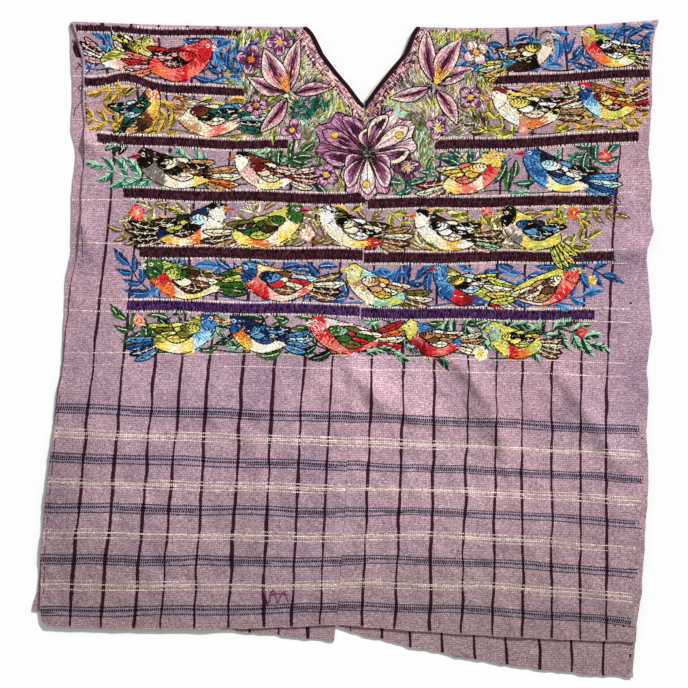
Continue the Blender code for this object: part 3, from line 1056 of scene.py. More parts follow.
def sew_band(work, band):
    """Short upright stitches with uneven ends, and small pale ticks that hold the edges."""
    middle = weft_line(band.pick)
    across = np.linspace(band.start, band.end, 60)
    line = weft_height(middle, across)
    half = np.interp(across, (band.start, band.end), (band.height_start, band.height_end)) / 2.0 + 0.4
    ceiling = weft_height(FOLD, across) - FOLD_INSET - 1.5
    above = np.stack([across, np.minimum(line + half, ceiling)], -1)
    below = np.stack([across, line - half], -1)
    work.fill(np.concatenate([above, below[::-1]]), band.colours, 88.0, 5.0, ragged=1.4, glint=0.0)
    for edge in (-1.0, 1.0):
        for x in np.arange(band.start, band.end, TICK_PITCH):
            x = x + random.uniform(-0.9, 0.9)
            y = float(weft_height(middle, x)) + edge * (band.height_start / 2.0 + TICK_REACH)
            top = (x + random.uniform(-0.4, 0.4), y + TICK_REACH)
            work.sew((x, y - TICK_REACH), top, "shell", 1.3, lift=0.2)


# ---------------------------------------------------------------- birds
# x and y are the middle of the bird, length its beak to tail, facing 1 to the right and -1 to the left.
# tilt lifts its head, wing and tail turn those parts, and plump widens its body.
BIRDS = table(
    "row x y length facing tilt wing tail plump head cap beak breast belly back covert wings tails",
    (1, -283, 372, 104, 1, 26, -48, -30, 1.05, "lime yellow", "lime olive", "red", "lime cream",
     "cream pink white", "olive lime", "yellow olive", "lime black yellow cream", "pink black white"),
    (1, -217, 366, 120, 1, 19, -10, 0, 1.22, "red red", "red coral", "white", "red coral",
     "red coral orange", "red red coral", "red coral", "red black pink maroon", "coral red pink"),
    (1, 226, 376, 108, 1, 30, -14, 0, 1.0, "blush grey", "lilac grey", "cream", "cream blush",
     "black umber", "teal sky teal", "olive yellow", "brown cream tan umber", "yellow cream gold"),
    (1, 342, 384, 108, -1, 18, -6, 0, 1.12, "tan gold", "lime lime", "cream", "red coral",
     "orange yellow cream", "lime green", "black white", "cream black tan white", "brown cream umber"),
    (2, -264, 293, 103, 1, 38, -34, 16, 1.05, "cream orange", "orange tan", "brown", "yellow gold",
     "brown umber tan", "black teal", "teal black", "black teal navy ice", "black mint teal"),
    (2, -166, 288, 128, -1, 14, -6, 0, 1.12, "tan brown", "brown tan", "gold", "cream tan",
     "cream coral cream", "grey cream brown", "maroon brown", "sky black teal cream", "teal ice black"),
    (2, 239, 304, 128, -1, 0, -2, -8, 1.14, "white cream", "brown maroon", "pink", "cream white",
     "tan orange cream", "yellow black", "yellow lime", "black white black cream", "brown cream tan"),
    (2, 340, 313, 108, -1, 0, 2, -14, 1.25, "navy blue", "red red", "yellow", "sky ice",
     "yellow lime yellow", "orange brown", "maroon yellow", "brown yellow orange maroon",
     "maroon brown red"),
    (3, -207, 221, 140, -1, 13, -4, 4, 0.92, "black black", "black umber", "red", "grey grey",
     "cream white yellow", "black brown black", "black cream", "tan black brown cream", "tan cream orange"),
    (3, -94, 218, 113, -1, 17, 2, 2, 1.14, "white cream", "black black", "orange", "pink blush",
     "cream yellow white", "maroon brown", "maroon maroon", "pink cream maroon cream", "cream maroon pink"),
    (3, 154, 221, 122, 1, 16, -12, 6, 1.0, "gold yellow", "gold yellow", "yellow", "red coral",
     "cream coral yellow", "cream yellow", "cream gold", "cream gold yellow coral", "maroon cream pink"),
    (3, 278, 221, 135, -1, 11, -2, 2, 1.0, "sky blue", "navy blue", "red", "sky blue sky",
     "cream yellow cream", "black navy", "ice white", "black navy white sky", "sky ice blue"),
    (4, -204, 153, 134, 1, 13, -4, -6, 1.0, "cream white", "black black", "orange", "white cream",
     "orange cream gold", "navy navy", "white ice black", "umber black lime umber", "black umber"),
    (4, -107, 151, 138, 1, 15, -2, 8, 1.0, "green green", "pine green", "red", "cream yellow",
     "cream orange yellow", "lime yellow lime", "green olive", "olive umber green lime", "cream umber tan"),
    (4, 17, 149, 127, -1, 11, -4, -4, 1.04, "white white", "white black", "yellow", "white cream",
     "cream yellow red", "black olive", "black cream", "umber cream black white", "tan cream brown"),
    (4, 135, 148, 121, -1, 15, -8, 0, 1.08, "white cream", "black black", "orange", "white cream",
     "cream gold white", "black umber", "black white", "black white black cream", "brown umber mint"),
    (4, 244, 155, 119, -1, 9, -4, 46, 1.12, "black black", "black umber", "yellow", "blush grey",
     "yellow lime yellow", "yellow lime", "blue black", "black sky black navy", "lime yellow lime"),
    (5, -194, 86, 144, -1, 11, 6, -4, 1.0, "green pine", "green green", "cream", "red orange",
     "cream yellow cream", "green lime green", "lime green", "brown cream brown umber", "green lime green"),
    (5, -76, 79, 138, -1, 13, 4, 4, 1.0, "blue navy", "navy sky", "gold", "coral red", "pink cream coral",
     "cream gold", "navy sky", "ice red cream brown", "brown cream umber"),
    (5, 47, 80, 119, -1, 13, -4, 0, 1.06, "lime cream", "yellow lime", "yellow", "tan cream",
     "cream mint lime", "mint ice", "cream tan", "cream tan cream gold", "olive cream brown"),
    (5, 156, 75, 117, -1, 15, -20, 14, 1.06, "sky blue", "navy sky", "red", "sky blue", "red maroon blue",
     "olive lime", "olive yellow", "yellow black cream ice", "navy cream red"),
    (5, 246, 85, 129, 1, 6, 14, -8, 1.04, "red coral", "teal teal", "yellow", "coral red",
     "coral cream pink", "lime yellow", "cream brown", "cream brown cream tan", "lime cream yellow"),
    (6, -212, 14, 123, 1, 13, -10, 10, 1.06, "blue sky", "navy blue", "orange", "sky ice",
     "yellow cream yellow", "olive lime olive", "lime olive", "lime olive lime yellow", "sky blue navy"),
    (6, -102, 9, 112, -1, 20, -4, 2, 1.12, "navy blue", "navy navy", "yellow", "orange gold",
     "cream white cream", "navy navy", "navy sky", "navy sky navy blue", "sky ice sky"),
    (6, 9, 9, 130, -1, 13, 8, -6, 1.02, "red pink", "red red", "cream", "red coral", "coral red coral",
     "white pink", "green mint", "cream green red olive", "red orange cream"),
    (6, 119, 3, 106, -1, 18, -2, 2, 1.18, "yellow lime", "lime yellow", "yellow", "red maroon",
     "red coral red", "blue sky", "brown tan", "cream brown tan cream", "cream tan cream"),
    (6, 223, 7, 102, -1, 12, -8, 10, 1.24, "lime sky", "lime lime", "yellow", "lime yellow",
     "red orange lime", "lime yellow", "yellow black", "green yellow black lime", "brown cream brown"),
)


class Pose:
    """Places a bird's own shapes, drawn facing right and one long, on the cloth."""

    def __init__(self, bird):
        self.bird = bird

    def shape(self, outline):
        points = turned(np.asarray(outline, float), self.bird.tilt) * self.bird.length
        return points * (self.bird.facing, 1.0) + (self.bird.x, self.bird.y)

    def wing(self, outline):
        """A shape of the wing, drawn from the shoulder."""
        return self.shape(turned(np.asarray(outline, float), self.bird.wing) + SHOULDER)

    def angle(self, own):
        """A direction of the bird's own, as it is on the cloth."""
        lifted = own + self.bird.tilt
        return lifted if self.bird.facing > 0 else 180.0 - lifted


# A bird's outline and the lines that part its colours, facing right, one long from beak to tail.
CHIN, FOREHEAD, CROWN, NAPE = (0.410, 0.072), (0.408, 0.130), (0.350, 0.168), (0.270, 0.150)
BACK, RUMP, TAIL_TOP, TAIL_LOW = (0.12, 0.118), (-0.10, 0.070), (-0.25, 0.010), (-0.25, -0.060)
VENT, BELLY, BREAST, THROAT = (-0.12, -0.118), (0.06, -0.145), (0.26, -0.090), (0.375, 0.00)
NECK_SIDE, SHOULDER, FLANK = (0.265, 0.050), (0.185, 0.040), (0.150, -0.130)
BEAK_TOP, BEAK_TIP, BEAK_LOW = (0.400, 0.124), (0.500, 0.082), (0.405, 0.078)
BODY = (CHIN, FOREHEAD, CROWN, NAPE, BACK, RUMP, TAIL_TOP, TAIL_LOW, VENT, BELLY, BREAST, THROAT)
HEAD = (CHIN, FOREHEAD, CROWN, NAPE, NECK_SIDE, THROAT)
EYE, MOUTH = (0.360, 0.112), (0.395, 0.100)
LEGS = (0.02, 0.11)
TOES = (-0.03, 0.035)
EYE_WIDTH, EYE_HEIGHT = 2.7, 2.3
FULLNESS = 1.20           # how much fuller than its outline every body is

# Its coats, one over another: where each lies, which of the bird's threads it is of, the way its stitches
# lie, how long they are, the way they are shaded and how ragged the edge is.
COATS = table(
    "corners threads angle length blend ragged",
    (BODY, "back", 166, 5.5, None, 1.6),
    ((SHOULDER, FLANK, BELLY, VENT, TAIL_LOW, (-0.1, -0.03), (0.0, -0.02)), "belly", -12, 4.6, 180, 1.4),
    ((NECK_SIDE, THROAT, BREAST, FLANK, SHOULDER), "breast", -62, 4.6, -80, 1.6),
    (HEAD, "head", 34, 3.8, None, 1.0),
    ((FOREHEAD, CROWN, NAPE, (0.27, 0.10), (0.34, 0.120)), "cap", 24, 3.8, None, 0.0),
)

# The long and the short feathers of its wing, from the shoulder: the first one's two ends, and the steps
# from there to the next one's.
WING = table(
    "count start end start_step end_step width lined",
    (4, (-0.06, 0.046), (-0.50, 0.034), (0.014, -0.034), (0.066, -0.044), 0.088, True),
    (3, (0.0, 0.048), (-0.26, 0.050), (0.006, -0.034), (0.030, -0.046), 0.084, False),
)
TAIL_FEATHERS = 4
TAIL_WIDTH = 0.078
TAIL_SPREAD = 9.0         # degrees from one feather to the next
FEATHER_BOW = 0.07
HANGING_TAIL = 30.0
ROWS = range(1, 7)
DARK_THREADS = ("black", "umber", "navy", "maroon", "brown")


def sew_feather(work, pose, start, end, width, colour, lined):
    """One feather: filled along its length and outlined, with a line down its middle if lined."""
    start, end = np.asarray(start), np.asarray(end)
    ahead = end - start
    outline = leaf(start, end, width, FEATHER_BOW, 0.60, blunt=0.8)
    angle = math.degrees(math.atan2(ahead[1], ahead[0]))
    work.fill(pose.shape(outline), colour, pose.angle(angle), 8.0, glint=0.02)
    if lined:
        contrast = "cream" if colour in DARK_THREADS else "black"
        spine = midrib(start, end, FEATHER_BOW)[2:9]
        work.stroke(pose.shape(spine), contrast, 1.1, 5.0)
        aside = left_of(ahead) / np.linalg.norm(ahead) * width * 0.34
        for place in spine[1::2]:
            barbs = [place - 0.10 * ahead + aside, place, place - 0.10 * ahead - aside]
            work.stroke(pose.shape(barbs), contrast, 1.0, 3.0)
    work.stroke(pose.shape(outline), "black", OUTLINE_WIDTH, closed=True)


def sew_feathers(work, pose, feathers, names, width, lined):
    """Feathers given by their two ends, each laid over part of the one before."""
    for number, (start, end) in enumerate(feathers):
        sew_feather(work, pose, start, end, width, names[number % len(names)], lined)


def tail_feathers(bird):
    """Feathers that fan out from the tail's root, the second one longest."""
    feathers = []
    for number in range(TAIL_FEATHERS):
        start = np.array([-0.15, 0.020 - 0.024 * number])
        reach = 0.42 - 0.03 * abs(number - 1.0)
        turn = TAIL_SPREAD * (number - (TAIL_FEATHERS - 1) / 2.0)
        feathers.append((start, start + reach * heading(180.0 + bird.tail + turn)))
    return feathers


def wing_feathers(bird, layer):
    """Feathers one below another, turned together about the shoulder."""
    feathers = []
    for number in range(layer.count):
        steps = number * np.array([layer.start_step, layer.end_step])
        feathers.append(turned(np.array([layer.start, layer.end]) + steps, bird.wing) + SHOULDER)
    return feathers


def fitted(bird):
    """The bird tilted less, and moved up or down, where it would reach over the bands of its row."""
    low, high = row_room(bird.row, bird.x)
    limits = np.array([CROWN, FOREHEAD, BEAK_TIP, BELLY, VENT]) * (1.0, FULLNESS * bird.plump)
    for tilt in range(bird.tilt, -1, -1):
        heights = Pose(bird._replace(tilt=tilt)).shape(limits)[:, 1]
        if np.ptp(heights) < high - low:
            break
    rise = max(low - heights.min(), 0.0) - max(heights.max() - high, 0.0)
    return bird._replace(tilt=tilt, y=bird.y + rise)


def sew_bird(work, bird):
    """Legs and tail first, then the body from back to cap, beak and eye, and the wing over it."""
    bird = fitted(bird)
    pose = Pose(bird)
    plump = FULLNESS * bird.plump
    fat = np.array([1.0, plump])

    def part(corners):
        return pose.shape(curved(np.array(corners) * fat))

    for leg in LEGS:
        foot = (leg + 0.01, -0.135 * plump - 0.03)
        work.stroke(pose.shape([(leg, -0.12 * plump), foot]), "tan", 1.3)
        for toe in TOES:
            work.stroke(pose.shape([foot, (foot[0] + toe, foot[1] - 0.012)]), "tan", 1.0)
    sew_feathers(work, pose, tail_feathers(bird), bird.tails.split(), TAIL_WIDTH, lined=True)

    for coat in COATS:
        blend = None if coat.blend is None else pose.angle(coat.blend)
        threads = getattr(bird, coat.threads)
        work.fill(part(coat.corners), threads, pose.angle(coat.angle), coat.length, blend, coat.ragged)
    work.stroke(part(BODY), "black", 1.7, closed=True, keep=0.8)
    work.stroke(part(HEAD), "black", 1.3, closed=True, keep=0.55)
    beak = np.array([BEAK_TOP, BEAK_TIP, BEAK_LOW]) * fat
    work.fill(pose.shape(beak), bird.beak, pose.angle(-6), 5.0)
    work.stroke(pose.shape([beak[1], np.array(MOUTH) * fat]), "black", 0.9)
    eye = pose.shape([np.array(EYE) * fat])[0]
    work.fill(ellipse(*eye, EYE_WIDTH, EYE_HEIGHT, 10), "white", 0, 5.0)
    work.step += 1
    work.sew(eye - (1.5, 0.0), eye + (1.5, 0.0), "black", 2.2, 0.8, 0.3)

    wings = bird.wings.split()
    for layer, names in zip(WING, (wings, wings[::-1])):
        sew_feathers(work, pose, wing_feathers(bird, layer), names, layer.width, layer.lined)
    covert = pose.wing(leaf((0.055, 0.020), (-0.165, 0.026), 0.105, 0.05, 0.42, blunt=0.8))
    work.fill(covert, bird.covert, pose.angle(bird.wing + 160), 3.6, blend=pose.angle(200), ragged=0.8)
    work.stroke(covert, "black", 1.7, closed=True, keep=0.9)
    for place in np.arange(0.02, -0.13, -0.036):
        chevron = [(place, 0.054), (place - 0.024, 0.030), (place, 0.008)]
        work.stroke(pose.wing(chevron), "black", 1.3, 3.0)


# ---------------------------------------------------------------- leaves and flowers
# The threads of each row's leaves, one set at random for each spray or fan: one thread for either side of
# the middle line and one for the line itself.
FOLIAGE = {
    1: ("blue navy sky", "blue sky navy", "navy blue ice"),
    2: ("olive gold umber", "umber olive cream", "gold olive brown", "lime olive umber"),
    3: ("pine teal cream", "teal mint pine", "green pine white"),
    4: ("olive lime umber", "brown olive cream", "green gold umber", "cream olive brown"),
    5: ("blue navy sky", "sky blue navy", "blue navy ice"),
    6: ("pine black mint", "green pine cream", "mint pine black"),
}

# Small flowers of round petals about an eye.
BLOOMS = table(
    "row x y radius petals colours eye",
    (1, 240, 336, 5, 4, "red coral", "yellow"), (2, 226, 278, 7, 5, "coral pink", "yellow"),
    (3, 330, 244, 8, 5, "red coral", "yellow"), (3, 178, 242, 5, 5, "yellow gold", "orange"),
    (4, -264, 172, 10, 5, "red coral pink", "yellow"), (4, -48, 145, 9, 5, "pink white coral", "yellow"),
    (4, 180, 174, 6, 4, "red coral", "yellow"), (4, 290, 172, 8, 5, "orange red", "yellow"),
    (5, 314, 87, 6, 5, "yellow gold", "orange"), (6, -261, 35, 8, 5, "orange pink red", "yellow"),
    (6, 172, -7, 9, 6, "cream yellow", "gold"), (6, 300, 21, 7, 4, "red coral", "maroon"),
)
# Larger ones beside the neck, whose petals are outlined.
VIOLETS = table(
    "x y radius petals colours eye",
    (-119, 366, 18, 4, "lilac violet plum", "orange"), (-83, 388, 16, 4, "lilac violet lilac", "gold"),
    (-112, 308, 15, 4, "violet lilac plum", "orange"), (-67, 277, 14, 3, "lilac violet", "gold"),
    (166, 375, 16, 4, "lilac cream violet", "gold"), (159, 318, 15, 4, "violet lilac plum", "gold"),
    (118, 280, 15, 4, "lilac violet cream", "gold"), (-24, 220, 16, 4, "violet lilac plum", "gold"),
    (79, 230, 16, 4, "violet plum lilac", "gold"),
)


def foliage(row):
    return FOLIAGE[row][random.integers(len(FOLIAGE[row]))].split()


LEAF_WIDTH = 0.34         # as a share of a leaf's length
LEAF_PITCH = 1.25         # from one stitch of a leaf to the next
LEAF_SLANT = 0.17         # how far toward the tip its stitches lean, as a share of its length
STEM_BOW = 0.10           # as a share of a stem's length


def sew_leaf(work, foot, angle, length, names, bow=0.08):
    """A slender leaf of stitches that slant out from its middle line, with uneven ends."""
    foot = np.asarray(foot, float)
    tip = foot + length * heading(angle)
    outline = leaf(foot, tip, LEAF_WIDTH * length, bow)
    spine = midrib(foot, tip, bow)
    upper, lower = outline[:LEAF_POINTS], np.concatenate([outline[:1], outline[:LEAF_POINTS - 2:-1]])
    places = np.linspace(0.0, 1.0, LEAF_POINTS)
    work.cover(outline)
    for edge, name, other in ((upper, names[0], names[1]), (lower, names[1], names[0])):
        for place in np.arange(0.0, 0.94, LEAF_PITCH / length):
            end = min(place + LEAF_SLANT * random.uniform(0.8, 1.3), 1.0)
            root = np.array([np.interp(place, places, spine[:, axis]) for axis in (0, 1)])
            out = np.array([np.interp(end, places, edge[:, axis]) for axis in (0, 1)])
            out += random.uniform(-0.05, 0.25) * (out - root)
            work.sew(root, out, other if random.random() < 0.18 else name, 1.6)
    work.stroke(spine[1:8], names[2], 1.3, 4.0, keep=0.85)


def sew_spray(work, base, angle, length, leaf_length, names):
    """A bent stem with leaves in pairs, which grow shorter towards its tip, and one more at the end."""
    ahead = heading(angle)
    side = left_of(ahead)
    share = np.linspace(0.0, 1.0, 6)[:, None]
    stem = base + share * length * ahead + STEM_BOW * length * np.sin(math.pi * share) * side
    work.stroke(stem, names[1], STEM_WIDTH, 6.0)
    pairs = max(2, round(length / (0.62 * leaf_length)))
    for number in range(pairs):
        place = (number + 0.4) / pairs
        foot = base + place * length * ahead + STEM_BOW * length * math.sin(math.pi * place) * side
        for turn in (-1.0, 1.0):
            reach = leaf_length * (1.1 - 0.35 * place) * random.uniform(0.85, 1.15)
            sew_leaf(work, foot, angle + turn * random.uniform(30, 48), reach, names, 0.10 * turn)
    sew_leaf(work, stem[-1], angle, leaf_length, names)


# Shares of a small flower's radius: how far out its petals' middles are, and half of how long and wide
# its petals and its eye are.
BLOOM_REACH = 0.56
BLOOM_PETAL = np.array([0.52, 0.44])
BLOOM_EYE = np.array([0.26, 0.24])


def sew_bloom(work, bloom, outlined=False):
    """Round petals, each shaded towards the middle, and an eye over where they meet."""
    middle = np.array([bloom.x, bloom.y], float)
    turn = random.uniform(0.0, 90.0)
    for number in range(bloom.petals):
        angle = turn + 360.0 * number / bloom.petals
        place = middle + BLOOM_REACH * bloom.radius * heading(angle)
        petal = ellipse(*place, *BLOOM_PETAL * bloom.radius, 16, angle)
        work.fill(petal, bloom.colours, angle, 4.5, blend=angle + 180)
        if outlined:
            work.stroke(petal, "umber", 1.2, 3.0, closed=True)
    work.fill(ellipse(*middle, *BLOOM_EYE * bloom.radius, 10), bloom.eye, 60, 4)


# The large flowers beside the neck: x and y are the middle; each petal has an angle, length and width.
PETAL_PLACES = "angle length width"
LILIES = table(
    "x y petals stamens stamen_angle",
    (-70, 322, table(PETAL_PLACES, (-129, 64, 20), (157, 60, 21), (8, 58, 17), (80, 74, 22), (119, 68, 30)),
     "orange gold coral", 117),
    (113, 332, table(PETAL_PLACES, (-59, 58, 20), (24, 58, 20), (194, 60, 18), (97, 76, 23), (60, 72, 28)),
     "gold yellow orange", 64),
)
# The coats of a petal inside its rim: how far each reaches and how wide it is, as shares of the petal's.
PETAL_COATS = table(
    "reach width colours",
    (0.93, 0.68, "lilac pink rose"), (0.86, 0.44, "rose mauve wine"), (0.78, 0.22, "plum wine plum"),
)
PETAL_BOW = 0.06
STAMENS = 15
STAMEN_SPREAD = 3.4       # degrees from one stamen to the next


def sew_lily_petal(work, middle, petal):
    """Cream at the rim, then mauve, then plum down the middle."""
    ahead = heading(petal.angle)
    start, tip = middle + 5.0 * ahead, middle + petal.length * ahead
    rim = leaf(start, tip, petal.width, PETAL_BOW)
    work.fill(rim, "cream shell pink", petal.angle + 18, 5.0)
    for coat in PETAL_COATS:
        reach = middle + coat.reach * petal.length * ahead
        inner = leaf(start, reach, petal.width * coat.width, PETAL_BOW)
        work.fill(inner, coat.colours, petal.angle + 8, 6.5, glint=0.02)
    work.stroke(rim, "black", OUTLINE_WIDTH, 3.6, closed=True)
    work.stroke(leaf(start, tip, 0.1, PETAL_BOW)[:9], "black", 1.4)


def sew_lily(work, lily):
    """Long petals one over another, and a brush of stamens from the middle."""
    middle = np.array([lily.x, lily.y], float)
    for petal in lily.petals:
        sew_lily_petal(work, middle, petal)
    names = lily.stamens.split()
    for number in range(STAMENS):
        ahead = heading(lily.stamen_angle + (number - STAMENS // 2) * STAMEN_SPREAD)
        reach = random.uniform(14, 34)
        points = [middle + share * ahead for share in (3.0, reach / 2, reach)]
        work.stroke(points, names[number % len(names)], 1.2, 8.0, lift=0.45)


# The three broad flowers below the neck's point: they open from one green middle. Each is a rounded
# petal with a ruffled rim, and round-ended lobes on it that fan out: light edged, dark within. The
# middle one has a strip of its own colours.
ORCHIDS = table(
    "angle length width rim dark edge strip",
    (153, 68, 68, "mauve wine mauve lilac", "plum wine plum violet", "mauve lilac", "mauve plum rose"),
    (33, 67, 66, "blush lilac mauve shell", "wine mauve plum", "cream blush", "cream shell cream"),
    (271, 56, 66, "lilac rose mauve shell", "plum wine mauve", "shell lilac", "cream white cream"),
)
ORCHID_MIDDLE = np.array([28.0, 247.0])
ORCHID_SPREAD = 158.0
ORCHID_RINGS = 8
ORCHID_RUFFLE = 27.0      # degrees from one wave of the rim to the next
RUFFLE_DEPTH = 0.075      # as a share of the petal's own reach
LOBES = table(
    "offset length", (-58.0, 0.87), (56.0, 0.87), (-30.0, 0.92), (29.0, 0.92), (0.0, 0.88)
)


def orchid_point(orchid, offset, share):
    """A place in a petal: offset is in degrees off its middle line, share from the middle to the rim."""
    turn = math.radians(offset)
    along_half, across_half = orchid.length / 2.0, orchid.width / 2.0
    fall = (across_half * math.cos(turn)) ** 2 + (along_half * math.sin(turn)) ** 2
    reach = share * orchid.length * math.cos(turn) * across_half ** 2 / fall
    wave = math.cos(math.radians(offset * 360.0 / ORCHID_RUFFLE))
    reach *= 1.0 + RUFFLE_DEPTH * wave * math.cos(turn)
    return ORCHID_MIDDLE + reach * heading(orchid.angle + offset)


def sew_orchid_lobe(work, orchid, offset, length):
    """A light edge, dark inside and a vein; the lobe without an offset is the middle one."""
    foot, tip = orchid_point(orchid, 0.5 * offset, 0.08), orchid_point(orchid, offset, length)
    ahead = tip - foot
    angle = math.degrees(math.atan2(ahead[1], ahead[0]))
    bow = 0.12 * np.sign(offset)
    lobe = leaf(foot, tip, 0.30 * orchid.width, bow, 0.64, blunt=0.7)
    within = leaf(foot, foot + 0.90 * ahead, 0.17 * orchid.width, bow, 0.60, blunt=0.8)
    dark, vein = (orchid.dark, "plum") if offset else (orchid.strip, "mauve")
    work.fill(lobe, orchid.edge, angle + 14, 5.0, glint=0.02)
    work.fill(within, dark, angle, 6.0, blend=angle, glint=0.0)
    work.stroke(lobe, "black", OUTLINE_WIDTH, 3.4, closed=True)
    work.stroke(midrib(foot, foot + 0.80 * ahead, bow)[:9], vein, 1.4, 4.0)


def sew_orchid(work, orchid):
    """Rings of stitches that run outwards, an outline, notches in the rim, the lobes and a gold dot."""
    half = ORCHID_SPREAD / 2.0
    outline = [orchid_point(orchid, offset, 1.0) for offset in np.linspace(-half, half, 61)]
    outline = np.array(outline + [ORCHID_MIDDLE])
    work.cover(outline)
    rim, dark = orchid.rim.split(), orchid.dark.split()
    for ring in range(ORCHID_RINGS):
        near, far = (ring - 0.1) / ORCHID_RINGS, (ring + 1.3) / ORCHID_RINGS
        radius = orchid.length * (near + far) / 2.0
        count = max(3, round(math.radians(ORCHID_SPREAD) * radius / (0.9 * PITCH)))
        names = rim * (ring >= ORCHID_RINGS / 2) + dark * (ring < ORCHID_RINGS - 2)
        for number in range(count + 1):
            offset = -half + ORCHID_SPREAD * number / count
            slip = random.uniform(-0.06, 0.06)
            start = orchid_point(orchid, offset, max(near + slip, 0.02))
            end = orchid_point(orchid, offset, min(far + slip, 1.0))
            work.sew(start, end, names[random.integers(len(names))], BLADE_WIDTH)
    work.stroke(outline, "black", OUTLINE_WIDTH, 3.4, closed=True)
    for wave in range(-3, 3):
        notch = [orchid_point(orchid, ORCHID_RUFFLE * (wave + 0.5), share) for share in (0.78, 0.88, 0.985)]
        work.stroke(notch, "umber", 1.4, 4.0)
    for offset, length in LOBES:
        sew_orchid_lobe(work, orchid, offset, length)
    dot = orchid_point(orchid, -3.0, 0.66)
    work.fill(ellipse(*dot, 5.0, 4.6, 12), "gold gold yellow", 30, 5.0)
    work.stroke(ellipse(*dot, 5.2, 4.8, 12), "umber", 0.9, 2.4, closed=True)


def sew_orchid_middle(work):
    """A small burst of green and grey straight stitches where the three petals meet."""
    names = ("olive", "pine", "green", "grey", "mint", "umber")
    work.step += 1
    for angle in np.arange(0.0, 360.0, 7.0):
        ahead = heading(angle)
        name = names[random.integers(len(names))]
        start = ORCHID_MIDDLE + random.uniform(0.0, 3.0) * ahead
        work.sew(start, ORCHID_MIDDLE + random.uniform(8.0, 14.0) * ahead, name, 1.6)


# Fans of leaves among the flowers: x and y are the foot, and the leaves spread about the angle.
FERN_SPREAD = 24.0        # degrees from one leaf of a fan to the next
FERNS = table(
    "x y angle leaves length colours",
    (-40, 296, 128, 5, 24, "teal pine teal"), (-26, 300, 78, 3, 22, "pine teal mint"),
    (-4, 300, 84, 4, 20, "olive lime gold"), (-134, 384, 118, 4, 20, "green lime olive"),
    (-104, 392, 84, 3, 18, "olive lime green"), (-47, 262, 92, 4, 24, "olive grey green"),
    (-91, 260, 90, 2, 22, "lime green olive"), (-60, 226, 56, 3, 24, "teal sky lime"),
    (-34, 210, 150, 3, 20, "green mint cream"), (-12, 202, 250, 3, 18, "olive pine lime"),
    (-104, 322, 26, 4, 20, "pine teal green"), (66, 292, 66, 4, 22, "mint ice yellow"),
    (98, 276, 96, 4, 26, "pine olive grey"), (84, 300, 120, 3, 20, "olive mint gold"),
    (150, 304, 306, 2, 28, "green lime white"), (118, 250, 52, 3, 22, "teal mint white"),
    (104, 226, 20, 4, 24, "pine green mint"), (66, 212, 292, 4, 18, "olive pine green"),
    (88, 214, 330, 3, 18, "green lime pine"), (138, 388, 74, 4, 20, "lime olive yellow"),
    (174, 352, 46, 4, 20, "mint lime white"), (186, 326, 20, 3, 20, "olive gold brown"),
    (150, 340, 62, 3, 18, "green olive mint"),
)


def sew_fern(work, fern):
    """The leaves of a fan that find free ground, one beside another."""
    foot = np.array([fern.x, fern.y], float)
    for number in range(fern.leaves):
        angle = fern.angle + FERN_SPREAD * (number - (fern.leaves - 1) / 2.0) + random.uniform(-6, 6)
        length = fern.length * random.uniform(0.8, 1.1)
        if all(work.is_free(foot + share * length * heading(angle)) for share in (0.3, 0.6, 0.9)):
            sew_leaf(work, foot, angle, length, fern.colours.split())


def blade_end(x, y, angle):
    """Where a single stitch that starts at x, y ends."""
    return np.array([x, y]) + random.uniform(5.0, 9.0) * heading(angle)


# Loose patches of straight stitches fill the ground between the flowers.
TUFT_FULLNESS = 1.7       # how many places are tried for each stitch that a tuft's count asks for
TUFTS = table(
    "x y across up angle count colours",
    (-140, 392, 26, 16, 70, 60, "lime yellow olive"), (-105, 396, 22, 12, 95, 50, "lime olive green"),
    (-58, 392, 16, 14, 100, 44, "green pine olive"), (-138, 340, 20, 16, 40, 60, "green mint lime"),
    (-100, 340, 22, 18, 65, 70, "green teal olive"), (-104, 316, 30, 12, 20, 60, "pine teal green"),
    (-50, 302, 26, 14, 50, 110, "teal teal pine"), (-20, 308, 14, 16, 75, 60, "lime yellow mint"),
    (-2, 300, 16, 18, 70, 60, "mint olive gold"), (-28, 342, 10, 16, 60, 40, "gold yellow olive"),
    (-36, 250, 16, 26, 80, 80, "olive mint grey"), (-48, 284, 16, 16, 100, 46, "mint green ice"),
    (-100, 282, 12, 18, 85, 36, "lime green mint"), (64, 312, 26, 9, 30, 70, "mint yellow ice"),
    (90, 300, 16, 30, 75, 110, "olive grey green"), (100, 262, 14, 26, 85, 80, "olive mint green"),
    (140, 296, 16, 14, 40, 50, "green lime white"), (120, 394, 20, 12, 80, 60, "lime green yellow"),
    (152, 392, 24, 12, 50, 60, "olive gold green"), (178, 352, 16, 26, 80, 70, "green mint lime"),
    (166, 400, 22, 8, 20, 40, "green lime"), (188, 330, 12, 20, 60, 40, "olive gold brown"),
    (130, 344, 14, 22, 60, 50, "olive green mint"), (-16, 204, 20, 14, 60, 50, "olive lime green"),
    (76, 208, 22, 14, 110, 60, "olive green mint"), (104, 232, 12, 20, 85, 50, "olive mint lime"),
)


def sew_tuft(work, tuft):
    """Places are drawn in a square, and those outside its ellipse left out."""
    names = tuft.colours.split()
    work.step += 1
    placed = 0
    while placed < TUFT_FULLNESS * tuft.count:
        across, up = random.uniform(-1.0, 1.0, 2)
        if across ** 2 + up ** 2 > 1.0:
            continue
        x, y = tuft.x + across * tuft.across, tuft.y + up * tuft.up
        placed += 1
        if work.is_free((x, y)):
            end = blade_end(x, y, tuft.angle + across * 35.0 + random.uniform(-22, 22))
            work.sew((x, y), end, names[random.integers(len(names))], BLADE_WIDTH)


